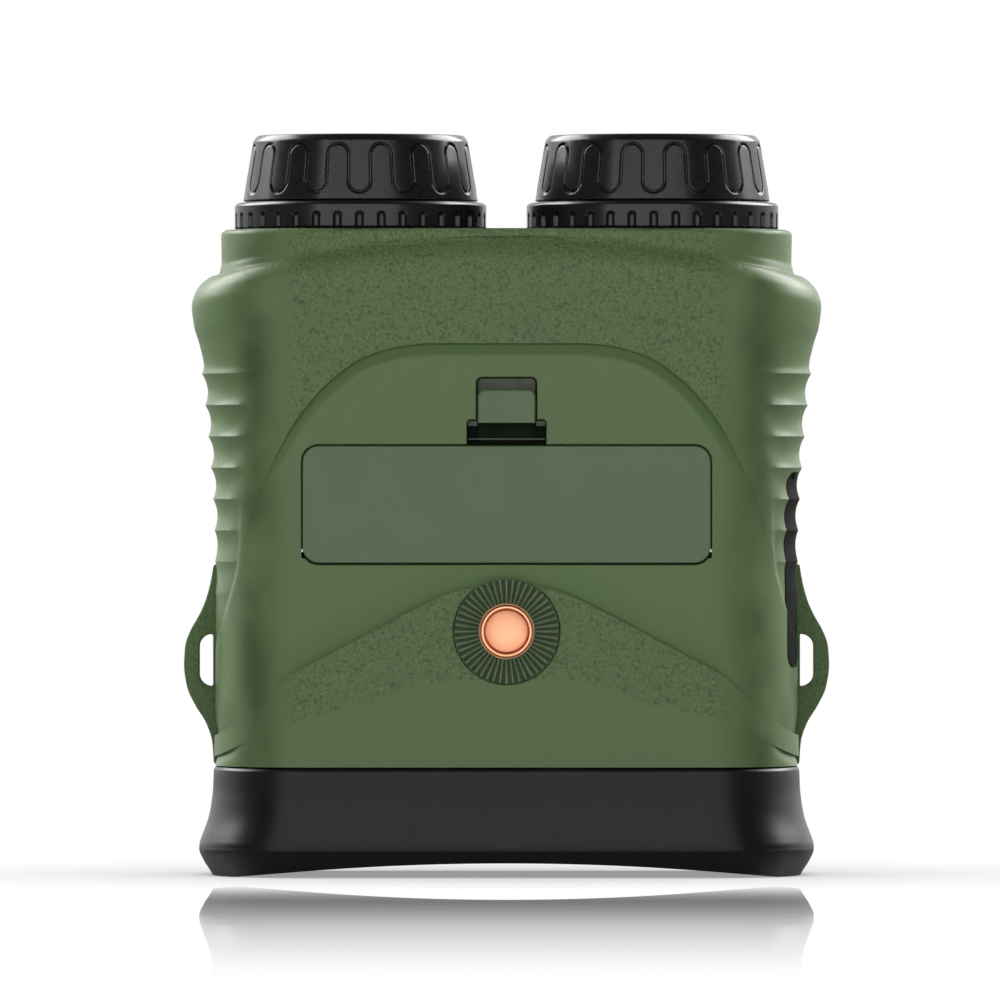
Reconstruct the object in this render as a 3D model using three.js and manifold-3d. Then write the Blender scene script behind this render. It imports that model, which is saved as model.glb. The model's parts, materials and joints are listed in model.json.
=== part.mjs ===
// A two-eye digital laser rangefinder: a flat, wide housing split into an underside shell and a top
// shell, two objective barrels with focus and lock rings, a laser window between them, one wide
// rubber eye hood, a battery bay with a hinged door and latch, a tripod socket and two strap lugs.
//
// Millimetres. +Z is the optical axis, from the eye hood (Z = 0) to the objectives, -Y is the
// underside (battery door and tripod socket), +Y is the top side (buttons). "left" is +X.
import * as THREE from 'three';
import { mergeVertices } from 'three/addons/utils/BufferGeometryUtils.js';
import Module from 'manifold-3d';

const wasm = await Module();
wasm.setup();

// ---------------------------------------------------------------- driving dimensions
const GAP = 0.3;               // clearance between neighbouring pieces
const WALL = 3;                // wall of the two shells
const HALF_DEPTH = 31;         // housing, from the split plane to either flat face
const SEAM_Z = 23.5;           // where the shells end and the eye hood starts
const FRONT_Z = 138.1;         // front rim of the housing
const WAIST = 62.5;            // half width of the housing along its straight lower part
const FLAT_SHARE = 0.66;       // share of the half width that is flat before the edge rounds off
const EDGE_POWER = 2.2;        // roundness of the long edges
const CORNER_STEPS = 5;        // steps in one rounded edge of a section
const FLAT_STEPS = 3;          // steps in one half of a flat face of a section

const GRIP_TOP_Z = 107.3;      // first crest of the finger grips
const GRIP_PITCH = 6.7;
const GRIP_COUNT = 8;
const GRIP_DIP = 0.85;         // depth of a finger valley
const GRIP_FLARE = 2.8;        // extra half width at the first crest

const BARREL_X = 31.3;         // objective axes, either side of the middle
const BARREL_R = 19;
const BARREL_BORE = 17;
const BARREL_REAR_Z = 98.5;
const BARREL_FRONT_Z = 157.6;
const RING_BORE = 19.35;       // inside of the two rings that turn on a barrel
const LOCK_R = 27;
const LOCK_Z = [138.4, 144];
const LOCK_NOTCHES = 36;
const FOCUS_R = [25.2, 23.05];
const FOCUS_Z = [144.3, 157.5];
const FOCUS_LIP = [22.2, 158.95];
const FOCUS_TURN = 70;         // degrees either way
const FOCUS_TRAVEL = 1.5;      // lens cell travel either way
const CELL_R = 16.7;
const PIN_Z = 149.5;           // the pin that links focus ring and lens cell
const PIN_R = 0.9;
const LENS_R = 14.7;

const DOOR = { x: 43.3, z: [66.95, 91.8], r: 3.4, inner: 28.4 };
const DOOR_AXIS = { y: -30, z: 69.6, pin: 0.5, bore: 0.65 };
const LATCH = { x: 6.1, z: [96.7, 103.7], top: 106.4 };
const LATCH_WELL = { x: 8.45, z: 97.4 };
const TRIPOD_Z = 52.4;
const TRIPOD_PAD_R = 11.1;
const TRIPOD_FACE = 32;        // the pad and the insert stand this far from the split plane
const TRIPOD_RIM_R = 5.6;
const TRIPOD_BORE_R = 4.76;    // 3/8 inch socket
const COVER = { y: [-16, -5], z: [45, 85.8], thick: 1.9 };
const USB_Z = [63.3, 72.3];
const CARD_Z = [74, 85.4];
const LASER_Y = 15;
const LASER_R = 6.5;
const BUTTON_TRAVEL_ROOM = 1.2;
const SCREWS = [[57, 121], [-57, 121], [54, 36], [-54, 36]];
const SCREW_R = 1.4;
const CELL_CENTRE = { y: -17.3, z: 79.4, r: 9.2 };

// ---------------------------------------------------------------- materials
function material(color, roughness, metalness = 0, extra = {}) {
  return new THREE.MeshStandardMaterial({ color, roughness, metalness, ...extra });
}
const GREEN = material(0x57644a, 0.55);
const DOOR_GREEN = material(0x5d6b54, 0.6);
const RUBBER = material(0x242424, 0.7);
const BLACK = material(0x1a1a1b, 0.6);
const ANODISED = material(0x3c3c3d, 0.45, 0.6);
const COPPER = material(0xe0a27c, 0.35, 1);
const STEEL = material(0x9a9a9c, 0.35, 1);
const NICKEL = material(0xb9b6ad, 0.3, 1);
const BOARD = material(0x1d4a2f, 0.5);
const GLASS = material(0x6f8792, 0.05, 0, { transparent: true, opacity: 0.4 });
const SCREEN = material(0x0b0d12, 0.15);
const CELL_WRAP = material(0x2f4f86, 0.4);

// ---------------------------------------------------------------- solids
const rad = THREE.MathUtils.degToRad;
const smooth = (value, low, high) => THREE.MathUtils.smoothstep(value, low, high);

// A closed geometry as a solid: shared corners merged, collapsed faces dropped, faces turned out.
function solid(geometry) {
  const bare = geometry.clone();
  bare.deleteAttribute('normal');
  bare.deleteAttribute('uv');
  const merged = mergeVertices(bare, 1e-4);
  const place = merged.attributes.position.array;
  const faces = [];
  let volume = 0;
  const [a, b, c] = [new THREE.Vector3(), new THREE.Vector3(), new THREE.Vector3()];
  for (let i = 0; i < merged.index.count; i += 3) {
    const [p, q, r] = [0, 1, 2].map((k) => merged.index.getX(i + k));
    if (p === q || q === r || r === p) continue;
    faces.push([p, q, r]);
    volume += a.fromArray(place, 3 * p).dot(b.fromArray(place, 3 * q).cross(c.fromArray(place, 3 * r)));
  }
  const turned = volume < 0 ? faces.map(([p, q, r]) => [p, r, q]) : faces;
  return new wasm.Manifold(new wasm.Mesh({
    numProp: 3,
    vertProperties: new Float32Array(place),
    triVerts: new Uint32Array(turned.flat()),
  }));
}

function geometryOf(manifold) {
  const mesh = manifold.getMesh();
  const geometry = new THREE.BufferGeometry();
  geometry.setAttribute('position', new THREE.BufferAttribute(mesh.vertProperties, 3));
  geometry.setIndex(new THREE.BufferAttribute(mesh.triVerts, 1));
  const flat = geometry.toNonIndexed();
  flat.computeVertexNormals();
  return flat;
}

const cut = (whole, ...tools) => tools.reduce((rest, tool) => rest.subtract(tool), whole);
const join = (first, ...others) => others.reduce((sum, other) => sum.add(other), first);

function box([x0, x1], [y0, y1], [z0, z1]) {
  const geometry = new THREE.BoxGeometry(x1 - x0, y1 - y0, z1 - z0);
  return solid(geometry.translate((x0 + x1) / 2, (y0 + y1) / 2, (z0 + z1) / 2));
}

// A disc or rod along X, Y or Z, from one end to the other.
function rod(axis, radius, [from, to], [u, v], sides = 24) {
  const geometry = new THREE.CylinderGeometry(radius, radius, to - from, sides);
  const middle = (from + to) / 2;
  if (axis === 'x') geometry.rotateZ(Math.PI / 2).translate(middle, u, v);
  if (axis === 'y') geometry.translate(u, middle, v);
  if (axis === 'z') geometry.rotateX(Math.PI / 2).translate(u, v, middle);
  return solid(geometry);
}

// A turned piece: [radius, height] points, revolved and laid along Y or Z.
function turned(axis, profile, [u, v], sides = 32) {
  const points = profile.map(([radius, height]) => new THREE.Vector2(radius, height));
  if (profile[0][0] > 0) points.push(points[0].clone());
  const geometry = new THREE.LatheGeometry(points, sides);
  if (axis === 'z') geometry.rotateX(Math.PI / 2).translate(u, v, 0);
  if (axis === 'y') geometry.translate(u, 0, v);
  return solid(geometry);
}

function roundedShape(halfWidth, [z0, z1], radius, x = 0) {
  const shape = new THREE.Shape();
  shape.absarc(x + halfWidth - radius, z1 - radius, radius, 0, Math.PI / 2);
  shape.absarc(x - halfWidth + radius, z1 - radius, radius, Math.PI / 2, Math.PI);
  shape.absarc(x - halfWidth + radius, z0 + radius, radius, Math.PI, 1.5 * Math.PI);
  shape.absarc(x + halfWidth - radius, z0 + radius, radius, 1.5 * Math.PI, 2 * Math.PI);
  return shape;
}

// A plate cut to an outline in X and Z, between two depths.
function plate(shape, [y0, y1], curveSegments = 4) {
  const geometry = new THREE.ExtrudeGeometry(shape, { depth: y1 - y0, bevelEnabled: false, curveSegments });
  return solid(geometry.rotateX(Math.PI / 2).translate(0, y1, 0));
}

// A plate cut to an outline in X and Y, between two heights.
function slab(shape, [z0, z1], curveSegments = 4) {
  const geometry = new THREE.ExtrudeGeometry(shape, { depth: z1 - z0, bevelEnabled: false, curveSegments });
  return solid(geometry.translate(0, 0, z0));
}

// One section of the housing: flat top and bottom faces and full round sides. A rise lifts the
// middle of the section above its two ends; a dip pulls in the sides only.
function sectionPoints({ z, w, d, rise = 0, span = w, dip = 0 }, inset) {
  const halfWidth = w - inset;
  const halfDepth = d - inset;
  const flat = FLAT_SHARE * halfWidth;
  const quarter = [];
  for (let i = 0; i < CORNER_STEPS; i++) {
    const turn = (i / CORNER_STEPS) * (Math.PI / 2);
    const fade = 1 - smooth(turn, rad(35), rad(58));
    const x = flat + (halfWidth - flat) * Math.cos(turn) ** (2 / EDGE_POWER) - dip * fade;
    quarter.push([x, halfDepth * Math.sin(turn) ** (2 / EDGE_POWER)]);
  }
  for (let i = 0; i < FLAT_STEPS; i++) quarter.push([flat * (1 - i / FLAT_STEPS), halfDepth]);
  const inner = quarter.slice(1);
  const loop = [
    ...quarter, [0, halfDepth],
    ...inner.toReversed().map(([x, y]) => [-x, y]), [-quarter[0][0], 0],
    ...inner.map(([x, y]) => [-x, -y]), [0, -halfDepth],
    ...inner.toReversed().map(([x, y]) => [x, -y]),
  ];
  return loop.map(([x, y]) => new THREE.Vector3(x, y, z + rise * Math.max(0, 1 - (x / span) ** 2)));
}

// A solid skinned over sections from the lowest to the highest, with its two ends closed.
function loft(sections, inset = 0) {
  const loops = sections.map((section) => sectionPoints(section, inset));
  const count = loops[0].length;
  const points = loops.flat();
  const index = [];
  for (let s = 0; s + 1 < loops.length; s++) {
    for (let i = 0; i < count; i++) {
      const [a, b] = [s * count + i, s * count + ((i + 1) % count)];
      index.push(a, b, b + count, a, b + count, a + count);
    }
  }
  for (let i = 0; i < count / 2; i++) {
    const [far, farNext] = [(count - i) % count, count - i - 1];
    const top = (loops.length - 1) * count;
    index.push(i + 1, i, far, i + 1, far, farNext);
    index.push(top + i, top + i + 1, top + farNext, top + i, top + farNext, top + far);
  }
  const geometry = new THREE.BufferGeometry().setFromPoints(points);
  geometry.setIndex(index);
  return solid(geometry);
}

// ---------------------------------------------------------------- housing shape
const crestWidth = (z) => WAIST + GRIP_FLARE * Math.max(0, (z - 70) / (GRIP_TOP_Z - 70)) ** 1.5;
const dipAt = (z) => GRIP_DIP * smooth(z, 50, 85);

function housingSections(withGrips) {
  const grips = [];
  for (let i = GRIP_COUNT - 1; i >= 0; i--) {
    const crest = GRIP_TOP_Z - i * GRIP_PITCH;
    const valley = crest - GRIP_PITCH / 2;
    if (withGrips) grips.push({ z: valley, w: crestWidth(valley), d: HALF_DEPTH, dip: dipAt(valley) });
    grips.push({ z: crest, w: crestWidth(crest), d: HALF_DEPTH });
  }
  return [
    { z: SEAM_Z, w: 62.7, d: HALF_DEPTH },
    { z: 45, w: WAIST, d: HALF_DEPTH },
    ...grips,
    { z: 109.6, w: 64.9, d: HALF_DEPTH },
    { z: 113, w: 65.9, d: HALF_DEPTH, rise: 2 },
    { z: 117.5, w: 67.2, d: HALF_DEPTH, rise: 5 },
    { z: 122, w: 67.5, d: HALF_DEPTH, rise: 6.4 },
    { z: 124.4, w: 66.9, d: 30.8, rise: 6.8 },
    { z: 126.2, w: 65.8, d: 30.2, rise: 7 },
    { z: 127.8, w: 64.1, d: 29.4, rise: 7 },
    { z: 129.4, w: 61.6, d: 28.6, rise: 6.9 },
    { z: FRONT_Z - 1, w: 61.2, d: 28.6 },
    { z: FRONT_Z, w: 60.2, d: 27.6 },
  ];
}

const CAVITY = [
  { z: SEAM_Z - 2, w: 62.7 - WALL, d: HALF_DEPTH - WALL },
  { z: 45, w: WAIST - WALL, d: HALF_DEPTH - WALL },
  { z: 85, w: WAIST - WALL, d: HALF_DEPTH - WALL },
  { z: 109, w: 61.9, d: HALF_DEPTH - WALL },
  { z: 119, w: 64.2, d: HALF_DEPTH - WALL, rise: 2 },
  { z: 122.5, w: 63.4, d: HALF_DEPTH - WALL, rise: 4 },
  { z: 128, w: 58.2, d: 25.6, rise: 5 },
  { z: FRONT_Z + 1, w: 58.2, d: 25.6 },
];

const group = new THREE.Group();
function add(name, shape, look) {
  const mesh = new THREE.Mesh(geometryOf(shape), look);
  mesh.name = name;
  group.add(mesh);
}

// ---------------------------------------------------------------- shells
const outside = loft(housingSections(true));
const plainInside = (inset) => loft(housingSections(false), inset);

// A lug's outline: an S-curved ear outside the wall and a tongue that the two shells trap inside.
function lugOutline() {
  const shape = new THREE.Shape();
  shape.moveTo(60, SEAM_Z + GAP);
  shape.lineTo(62.9, SEAM_Z + GAP);
  shape.bezierCurveTo(62.9, 32, 69.2, 35.5, 69.2, 46);
  shape.bezierCurveTo(69.2, 54, 63.4, 55.5, 62.9, 66.6);
  shape.lineTo(60, 66.6);
  shape.lineTo(60, 57);
  shape.lineTo(56.5, 57);
  shape.lineTo(56.5, 42);
  shape.lineTo(60, 42);
  return shape;
}

function screwBoss([x, z], side) {
  const span = side > 0 ? [GAP / 2, HALF_DEPTH] : [-HALF_DEPTH, -GAP / 2];
  return rod('y', 3.8, span, [x, z], 12).intersect(outside);
}

function shell(side) {
  const half = side > 0 ? [GAP / 2, 40] : [-40, -GAP / 2];
  let piece = outside.subtract(loft(CAVITY)).intersect(box([-80, 80], half, [0, 160]));
  piece = join(piece, ...SCREWS.map((place) => screwBoss(place, side)));
  const lugRoom = [1, -1].map((hand) => box(
    hand > 0 ? [55, 75] : [-75, -55], [-2.5 - GAP, 2.5 + GAP], [SEAM_Z - 1, 66.6 + GAP]));
  return cut(piece, ...lugRoom);
}

function bottomShell() {
  const { x, z, r } = DOOR;
  const doorHole = plate(roundedShape(x + GAP, [z[0] - 0.4, z[1] + GAP], r + GAP), [-33, -26]);
  const latchHole = plate(roundedShape(LATCH.x + 0.35, [95, LATCH.top], 1.1), [-33, -26]);
  const latchWell = box([-LATCH_WELL.x, LATCH_WELL.x], [-33, -26], [91, LATCH_WELL.z]);
  const hingeHole = rod('x', DOOR_AXIS.bore, [-44.9, 44.9], [DOOR_AXIS.y, DOOR_AXIS.z], 12);
  const padSeat = rod('y', TRIPOD_PAD_R + GAP, [-33, -30.1], [0, TRIPOD_Z], 32);
  const insertHole = rod('y', TRIPOD_RIM_R + GAP, [-33, -26], [0, TRIPOD_Z], 24);
  const [y0, y1] = COVER.y;
  const [z0, z1] = COVER.z;
  const coverRoom = box([45, 75], [y0 - GAP, y1 + GAP], [z0 - GAP, z1 + GAP]);
  const coverSeat = coverRoom.subtract(plainInside(COVER.thick + GAP));
  const usbHole = box([52, 75], [-15, -11.2], [USB_Z[0] - GAP, USB_Z[1] + GAP]);
  const cardHole = box([52, 75], [-15, -12.6], [CARD_Z[0] - GAP, CARD_Z[1] + GAP]);
  const screwHoles = SCREWS.map((place) => rod('y', SCREW_R + GAP, [-13, 5], place, 8));
  return cut(shell(-1), doorHole, latchHole, latchWell, hingeHole, padSeat, insertHole,
    coverSeat, usbHole, cardHole, ...screwHoles);
}

function topShell() {
  const screwHoles = SCREWS.map((place) => rod('y', SCREW_R + GAP, [-5, 22], place, 8));
  const headHoles = SCREWS.map((place) => rod('y', 2.7, [20, 40], place, 12));
  return cut(shell(1), ...screwHoles, ...headHoles,
    ...BUTTONS.map((button) => buttonCap(button, GAP, [26, 40])));
}

// ---------------------------------------------------------------- buttons
const BUTTONS = [
  { name: 'power_button', x: 0, z: 112, w: 4.6, h: 4.6, r: 4.5 },
  { name: 'measure_button', x: 0, z: 98.5, w: 7, h: 5.5, r: 5.4 },
  { name: 'menu_button', x: 0, z: 85.5, w: 4.6, h: 4.6, r: 4.5 },
  { name: 'mode_button', x: 0, z: 74.5, w: 6, h: 3.2, r: 3.1 },
  { name: 'zoom_in_button', x: 16.5, z: 98.5, w: 4, h: 6.5, r: 3.9 },
  { name: 'zoom_out_button', x: -16.5, z: 98.5, w: 4, h: 6.5, r: 3.9 },
];
const BUTTON_FLANGE = [26.1, 27.6];
const BUTTON_BOARD = [22.4, 24];

function buttonCap({ x, z, w, h, r }, margin, depth) {
  return plate(roundedShape(w + margin, [z - h - margin, z + h + margin], r + margin, x), depth, 3);
}

function button(spec) {
  const cap = buttonCap(spec, 0, [BUTTON_FLANGE[0], TRIPOD_FACE]);
  const flange = buttonCap(spec, 0.8, BUTTON_FLANGE);
  const stem = rod('y', 1.5, [BUTTON_BOARD[1] + BUTTON_TRAVEL_ROOM, 27], [spec.x, spec.z], 8);
  return join(cap, flange, stem);
}

add('bottom_shell', bottomShell(), GREEN);
add('top_shell', topShell(), GREEN);
for (const spec of BUTTONS) add(spec.name, button(spec), BLACK);
add('button_board', box([-24, 24], BUTTON_BOARD, [69, 118]), BOARD);

// ---------------------------------------------------------------- strap lugs and screws
for (const [name, hand] of [['left_strap_lug', 1], ['right_strap_lug', -1]]) {
  const strapSlot = plate(roundedShape(1.55, [40.4, 51.6], 1.4, 64.3), [-3, 3]);
  const lug = cut(plate(lugOutline(), [-2.5, 2.5], 8), strapSlot);
  add(name, hand > 0 ? lug : lug.mirror([1, 0, 0]), GREEN);
}

SCREWS.forEach(([x, z], i) => {
  const profile = [[0, -12.5], [SCREW_R, -12.5], [SCREW_R, 20.3], [2.4, 20.3], [2.4, 22.3], [0, 22.3]];
  const socket = rod('y', 1.1, [21, 23], [x, z], 6);
  add(`housing_screw_${i + 1}`, cut(turned('y', profile, [x, z], 10), socket), STEEL);
});

// ---------------------------------------------------------------- front plate and laser
const frontSection = (z) => ({ z, w: 58.2 - GAP, d: 25.6 - GAP });
add('front_plate', cut(
  loft([frontSection(134.9), frontSection(137.8)]),
  rod('z', BARREL_R + GAP, [130, 140], [BARREL_X, 0], 32),
  rod('z', BARREL_R + GAP, [130, 140], [-BARREL_X, 0], 32),
  rod('z', LASER_R + GAP, [130, 140], [0, LASER_Y], 24),
), BLACK);

add('laser_tube', turned('z', [
  [4.6, 104], [LASER_R, 104], [LASER_R, 138.4], [5.6, 138.4], [5.6, 135.9], [4.6, 135.9],
], [0, LASER_Y], 24), ANODISED);
add('laser_window', rod('z', 5.3, [136.2, 137.7], [0, LASER_Y], 24), GLASS);
add('laser_diode', turned('z', [
  [0, 99.5], [4.2, 99.5], [4.2, 100.9], [3.2, 100.9], [3.2, 103.7], [0, 103.7],
], [0, LASER_Y], 20), NICKEL);

// ---------------------------------------------------------------- objective barrels
const barrelProfile = [
  [15, BARREL_REAR_Z], [BARREL_R, BARREL_REAR_Z], [BARREL_R, 130], [21.8, 130], [21.8, 134.6],
  [BARREL_R, 134.6], [BARREL_R, BARREL_FRONT_Z], [BARREL_BORE, BARREL_FRONT_Z], [BARREL_BORE, 100.7],
  [15, 100.7],
];
const focusProfile = [
  [RING_BORE, FOCUS_Z[0]], [FOCUS_R[0], FOCUS_Z[0]], [FOCUS_R[1], FOCUS_Z[1]], FOCUS_LIP,
  [19.9, FOCUS_LIP[1]], [RING_BORE, FOCUS_LIP[1] - 0.6],
];
const lockProfile = [
  [RING_BORE, LOCK_Z[0]], [LOCK_R, LOCK_Z[0]], [LOCK_R, LOCK_Z[1] - 0.8], [LOCK_R - 0.7, LOCK_Z[1]],
  [RING_BORE, LOCK_Z[1]],
];
const cellProfile = [[13.2, 139], [CELL_R, 139], [CELL_R, 154], [15, 154], [15, 146], [13.2, 146]];
const lensProfile = [[0, 146.3], [LENS_R, 146.3], [LENS_R, 149.6], [10, 150.6], [5, 151], [0, 151.1]];

// The slanted groove inside a focus ring. Turning the ring moves the pin along the barrel's slot.
function focusGroove(x) {
  const half = PIN_R + 0.4;
  const steps = 14;
  const reach = FOCUS_TURN + 6;
  const points = [];
  const index = [];
  for (let i = 0; i <= steps; i++) {
    const angle = -reach + (2 * reach * i) / steps;
    const z = PIN_Z - (FOCUS_TRAVEL * angle) / FOCUS_TURN;
    const turn = rad(90 + angle);
    for (const [radius, height] of [[18, -half], [21.3, -half], [21.3, half], [18, half]]) {
      points.push(new THREE.Vector3(x + radius * Math.cos(turn), radius * Math.sin(turn), z + height));
    }
    if (i === steps) continue;
    for (let k = 0; k < 4; k++) {
      const [a, b] = [4 * i + k, 4 * i + ((k + 1) % 4)];
      index.push(a, b, b + 4, a, b + 4, a + 4);
    }
  }
  const end = 4 * steps;
  index.push(0, 2, 1, 0, 3, 2, end, end + 1, end + 2, end, end + 2, end + 3);
  const geometry = new THREE.BufferGeometry().setFromPoints(points);
  geometry.setIndex(index);
  return solid(geometry);
}

// One notch of the lock ring's knurl: sloped walls, a narrow floor, open towards the housing.
function lockNotch(x, i) {
  const shape = new THREE.Shape();
  shape.moveTo(LOCK_R - 0.8, -0.43);
  shape.lineTo(LOCK_R + 0.5, -1.35);
  shape.lineTo(LOCK_R + 0.5, 1.35);
  shape.lineTo(LOCK_R - 0.8, 0.43);
  const depth = 3.3 + 1;
  const geometry = new THREE.ExtrudeGeometry(shape, { depth, bevelEnabled: false });
  geometry.rotateZ(rad(-90 + (360 * i) / LOCK_NOTCHES)).translate(x, 0, LOCK_Z[0] - 1);
  return solid(geometry);
}

for (const [side, x] of [['left', BARREL_X], ['right', -BARREL_X]]) {
  const at = [x, 0];
  const slotReach = FOCUS_TRAVEL + PIN_R + 0.3;
  const slot = box([x - PIN_R - 0.3, x + PIN_R + 0.3], [14, 21], [PIN_Z - slotReach, PIN_Z + slotReach]);
  add(`${side}_barrel`, cut(turned('z', barrelProfile, at), slot), ANODISED);
  add(`${side}_focus_ring`, cut(turned('z', focusProfile, at, 40), focusGroove(x)), ANODISED);
  const notches = Array.from({ length: LOCK_NOTCHES }, (_, i) => lockNotch(x, i));
  add(`${side}_lock_ring`, cut(turned('z', lockProfile, at, 36), ...notches), ANODISED);
  const pinHole = rod('y', PIN_R + GAP, [14, 18], [x, PIN_Z], 8);
  add(`${side}_lens_cell`, cut(turned('z', cellProfile, at, 28), pinHole), BLACK);
  add(`${side}_focus_pin`, rod('y', PIN_R, [15.3, 20.7], [x, PIN_Z], 10), STEEL);
  add(`${side}_front_lens`, turned('z', lensProfile, at, 28), GLASS);
  add(`${side}_lens_retainer`, turned('z', [
    [13, 151.5], [LENS_R, 151.5], [LENS_R, 153.4], [13.6, 153.4],
  ], at, 28), BLACK);
}

add('sensor_board', rod('z', 16.6, [101, 102.6], [BARREL_X, 0], 28), BOARD);
add('image_sensor', box([BARREL_X - 6.5, BARREL_X + 6.5], [-5, 5], [102.9, 104.4]), SCREEN);
add('detector_board', rod('z', 16.6, [101, 102.6], [-BARREL_X, 0], 28), BOARD);
add('laser_detector', turned('z', [
  [0, 102.9], [4.8, 102.9], [4.8, 104], [4, 104], [4, 107], [0, 107],
], [-BARREL_X, 0], 20), NICKEL);

// ---------------------------------------------------------------- eyepiece and display
const HOOD = [
  { z: 0, w: 63, d: 29.8, rise: 3.1, span: 58 },
  { z: 5.7, w: 65.9, d: 31.8 },
  { z: 8, w: 65.4, d: 31.7 },
  { z: 11.7, w: 64.1, d: 31.4 },
  { z: 15.1, w: 63.3, d: 31.1 },
  { z: SEAM_Z - GAP, w: 62.7, d: HALF_DEPTH },
];
const HOOD_INSIDE = [
  { z: -1, w: 59.6, d: 26.6, rise: 3.1, span: 58 },
  { z: 5.7, w: 62.8, d: 28.7 },
  { z: 13, w: 60.8, d: 28.2 },
  { z: 20.6, w: 59.8, d: 27.9 },
];
add('eye_hood', cut(
  loft(HOOD),
  loft(HOOD_INSIDE),
  slab(roundedShape(50, [-21, 21], 14), [19, 25], 5),
), RUBBER);

const eyepieceSection = (z) => ({ z, w: 59.2, d: 27.6 });
add('eyepiece_frame', cut(
  loft([eyepieceSection(23.8), eyepieceSection(31.5)]),
  slab(roundedShape(46, [-19, 19], 12), [23, 32], 5),
  slab(roundedShape(48.5, [-21.5, 21.5], 14), [27, 32], 5),
), BLACK);

// The wide magnifier: a flat rim seated in the frame and a crowned face towards the eyes.
function magnifier() {
  const shape = roundedShape(45.7, [-18.7, 18.7], 12);
  const crown = new THREE.ExtrudeGeometry(shape, {
    depth: 1, curveSegments: 4, bevelThickness: 1.6, bevelSize: 5, bevelOffset: -5, bevelSegments: 2,
  });
  const rim = slab(roundedShape(48.2, [-21.2, 21.2], 13.7), [27.3, 30.9]);
  return join(solid(crown.translate(0, 0, 26.4)), rim);
}
add('magnifier_lens', magnifier(), GLASS);
const displaySection = (z) => ({ z, w: 58.8, d: 25.2 });
add('display_frame', cut(
  loft([displaySection(60), displaySection(62.2)]),
  slab(roundedShape(31, [-17, 17], 1.5), [59, 63], 2),
), BLACK);
add('display_panel', slab(roundedShape(33, [-19, 19], 1), [62.5, 65], 2), SCREEN);

// ---------------------------------------------------------------- boards and ports
add('main_board', join(
  box([-50, 50], [-4, -2.4], [66.6, 94]),
  box([-8, 8], [-2.5, -0.9], [73, 89]),
  box([-40, -16], [-2.5, 0], [72, 90]),
  box([18, 34], [-2.5, -0.6], [76, 88]),
), BOARD);
add('port_board', box([43, 55.4], [-16.6, -15], [62.8, 86.5]), BOARD);
add('usb_port', cut(
  box([47, 57.8], [-14.7, -11.5], USB_Z),
  box([51, 60], [-14.3, -11.9], [USB_Z[0] + 0.5, USB_Z[1] - 0.5]),
), STEEL);
add('card_slot', cut(
  box([43.5, 57.8], [-14.7, -12.9], CARD_Z),
  box([46, 60], [-14.4, -13.2], [CARD_Z[0] + 0.6, CARD_Z[1] - 0.6]),
), STEEL);

function portCover() {
  const slice = box([45, 75], COVER.y, COVER.z).intersect(outside);
  return slice.subtract(plainInside(COVER.thick));
}
add('port_cover', portCover(), RUBBER);

// ---------------------------------------------------------------- battery bay
add('battery_tray', cut(
  box([-42, 42], [-26.6, -5.8], [68.3, 90.5]),
  box([-40.5, 40.5], [-28, -7.3], [69.8, 89]),
), BLACK);
add('door_seal', cut(
  box([-42, 42], [-28.1, -27.2], [68.6, 90.5]),
  box([-40.7, 40.7], [-29, -26], [69.9, 89.2]),
), RUBBER);

const cellAt = [CELL_CENTRE.y, CELL_CENTRE.z];
add('battery_cell', join(
  rod('x', CELL_CENTRE.r, [-33.4, 34.2], cellAt, 32),
  rod('x', 3, [34, 35.5], cellAt, 16),
), CELL_WRAP);

class SpringPath extends THREE.Curve {
  getPoint(t, target = new THREE.Vector3()) {
    const turn = t * 3.5 * 2 * Math.PI;
    const radius = 6 - 2.4 * t;
    const [y, z] = [cellAt[0] + radius * Math.cos(turn), cellAt[1] + radius * Math.sin(turn)];
    return target.set(-39.4 + 4.9 * t, y, z);
  }
}
function springSection() {
  const shape = new THREE.Shape();
  shape.absarc(0, 0, 0.5, 0, 2 * Math.PI);
  return shape;
}
add('contact_spring', solid(new THREE.ExtrudeGeometry(springSection(), {
  extrudePath: new SpringPath(), steps: 32, curveSegments: 2,
})), NICKEL);
add('positive_contact', join(
  box([35.9, 36.7], [-21.3, -13.3], [74.9, 83.9]),
  box([36.6, 40.2], [-14.3, -13.3], [74.9, 83.9]),
  box([39.4, 40.2], [-14.3, -9], [74.9, 83.9]),
), NICKEL);

// The door follows the housing's outside and rolls around its hinge pin at the lower edge.
function batteryDoor() {
  const { x, z, r, inner } = DOOR;
  const blank = plate(roundedShape(x, z, r), [-HALF_DEPTH - 2, -inner]).intersect(outside);
  const bevel = (y, size) => {
    const tool = new THREE.BoxGeometry(2 * x + 4, size * Math.SQRT2, size * Math.SQRT2);
    return solid(tool.rotateX(Math.PI / 4).translate(0, y, z[0]));
  };
  const bore = rod('x', DOOR_AXIS.bore, [-50, 50], [DOOR_AXIS.y, DOOR_AXIS.z], 12);
  return cut(blank, bevel(-HALF_DEPTH, 0.75), bevel(-inner, 0.6), bore);
}
add('battery_door', batteryDoor(), DOOR_GREEN);
add('door_hinge_pin', rod('x', DOOR_AXIS.pin, [-44.6, 44.6], [DOOR_AXIS.y, DOOR_AXIS.z], 12), STEEL);

add('latch_guide', join(
  box([-12, 12], [-27.7, -26.2], [91, 109]),
  box([-LATCH.x, LATCH.x], [-29.6, -27.6], [100.8, 106.1]),
), BLACK);
add('door_latch', join(
  plate(roundedShape(LATCH.x, LATCH.z, 1.2), [-31.4, -29.9]),
  box([-3.5, 3.5], [-30, -28.2], [92.6, 98.3]),
), DOOR_GREEN);

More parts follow.
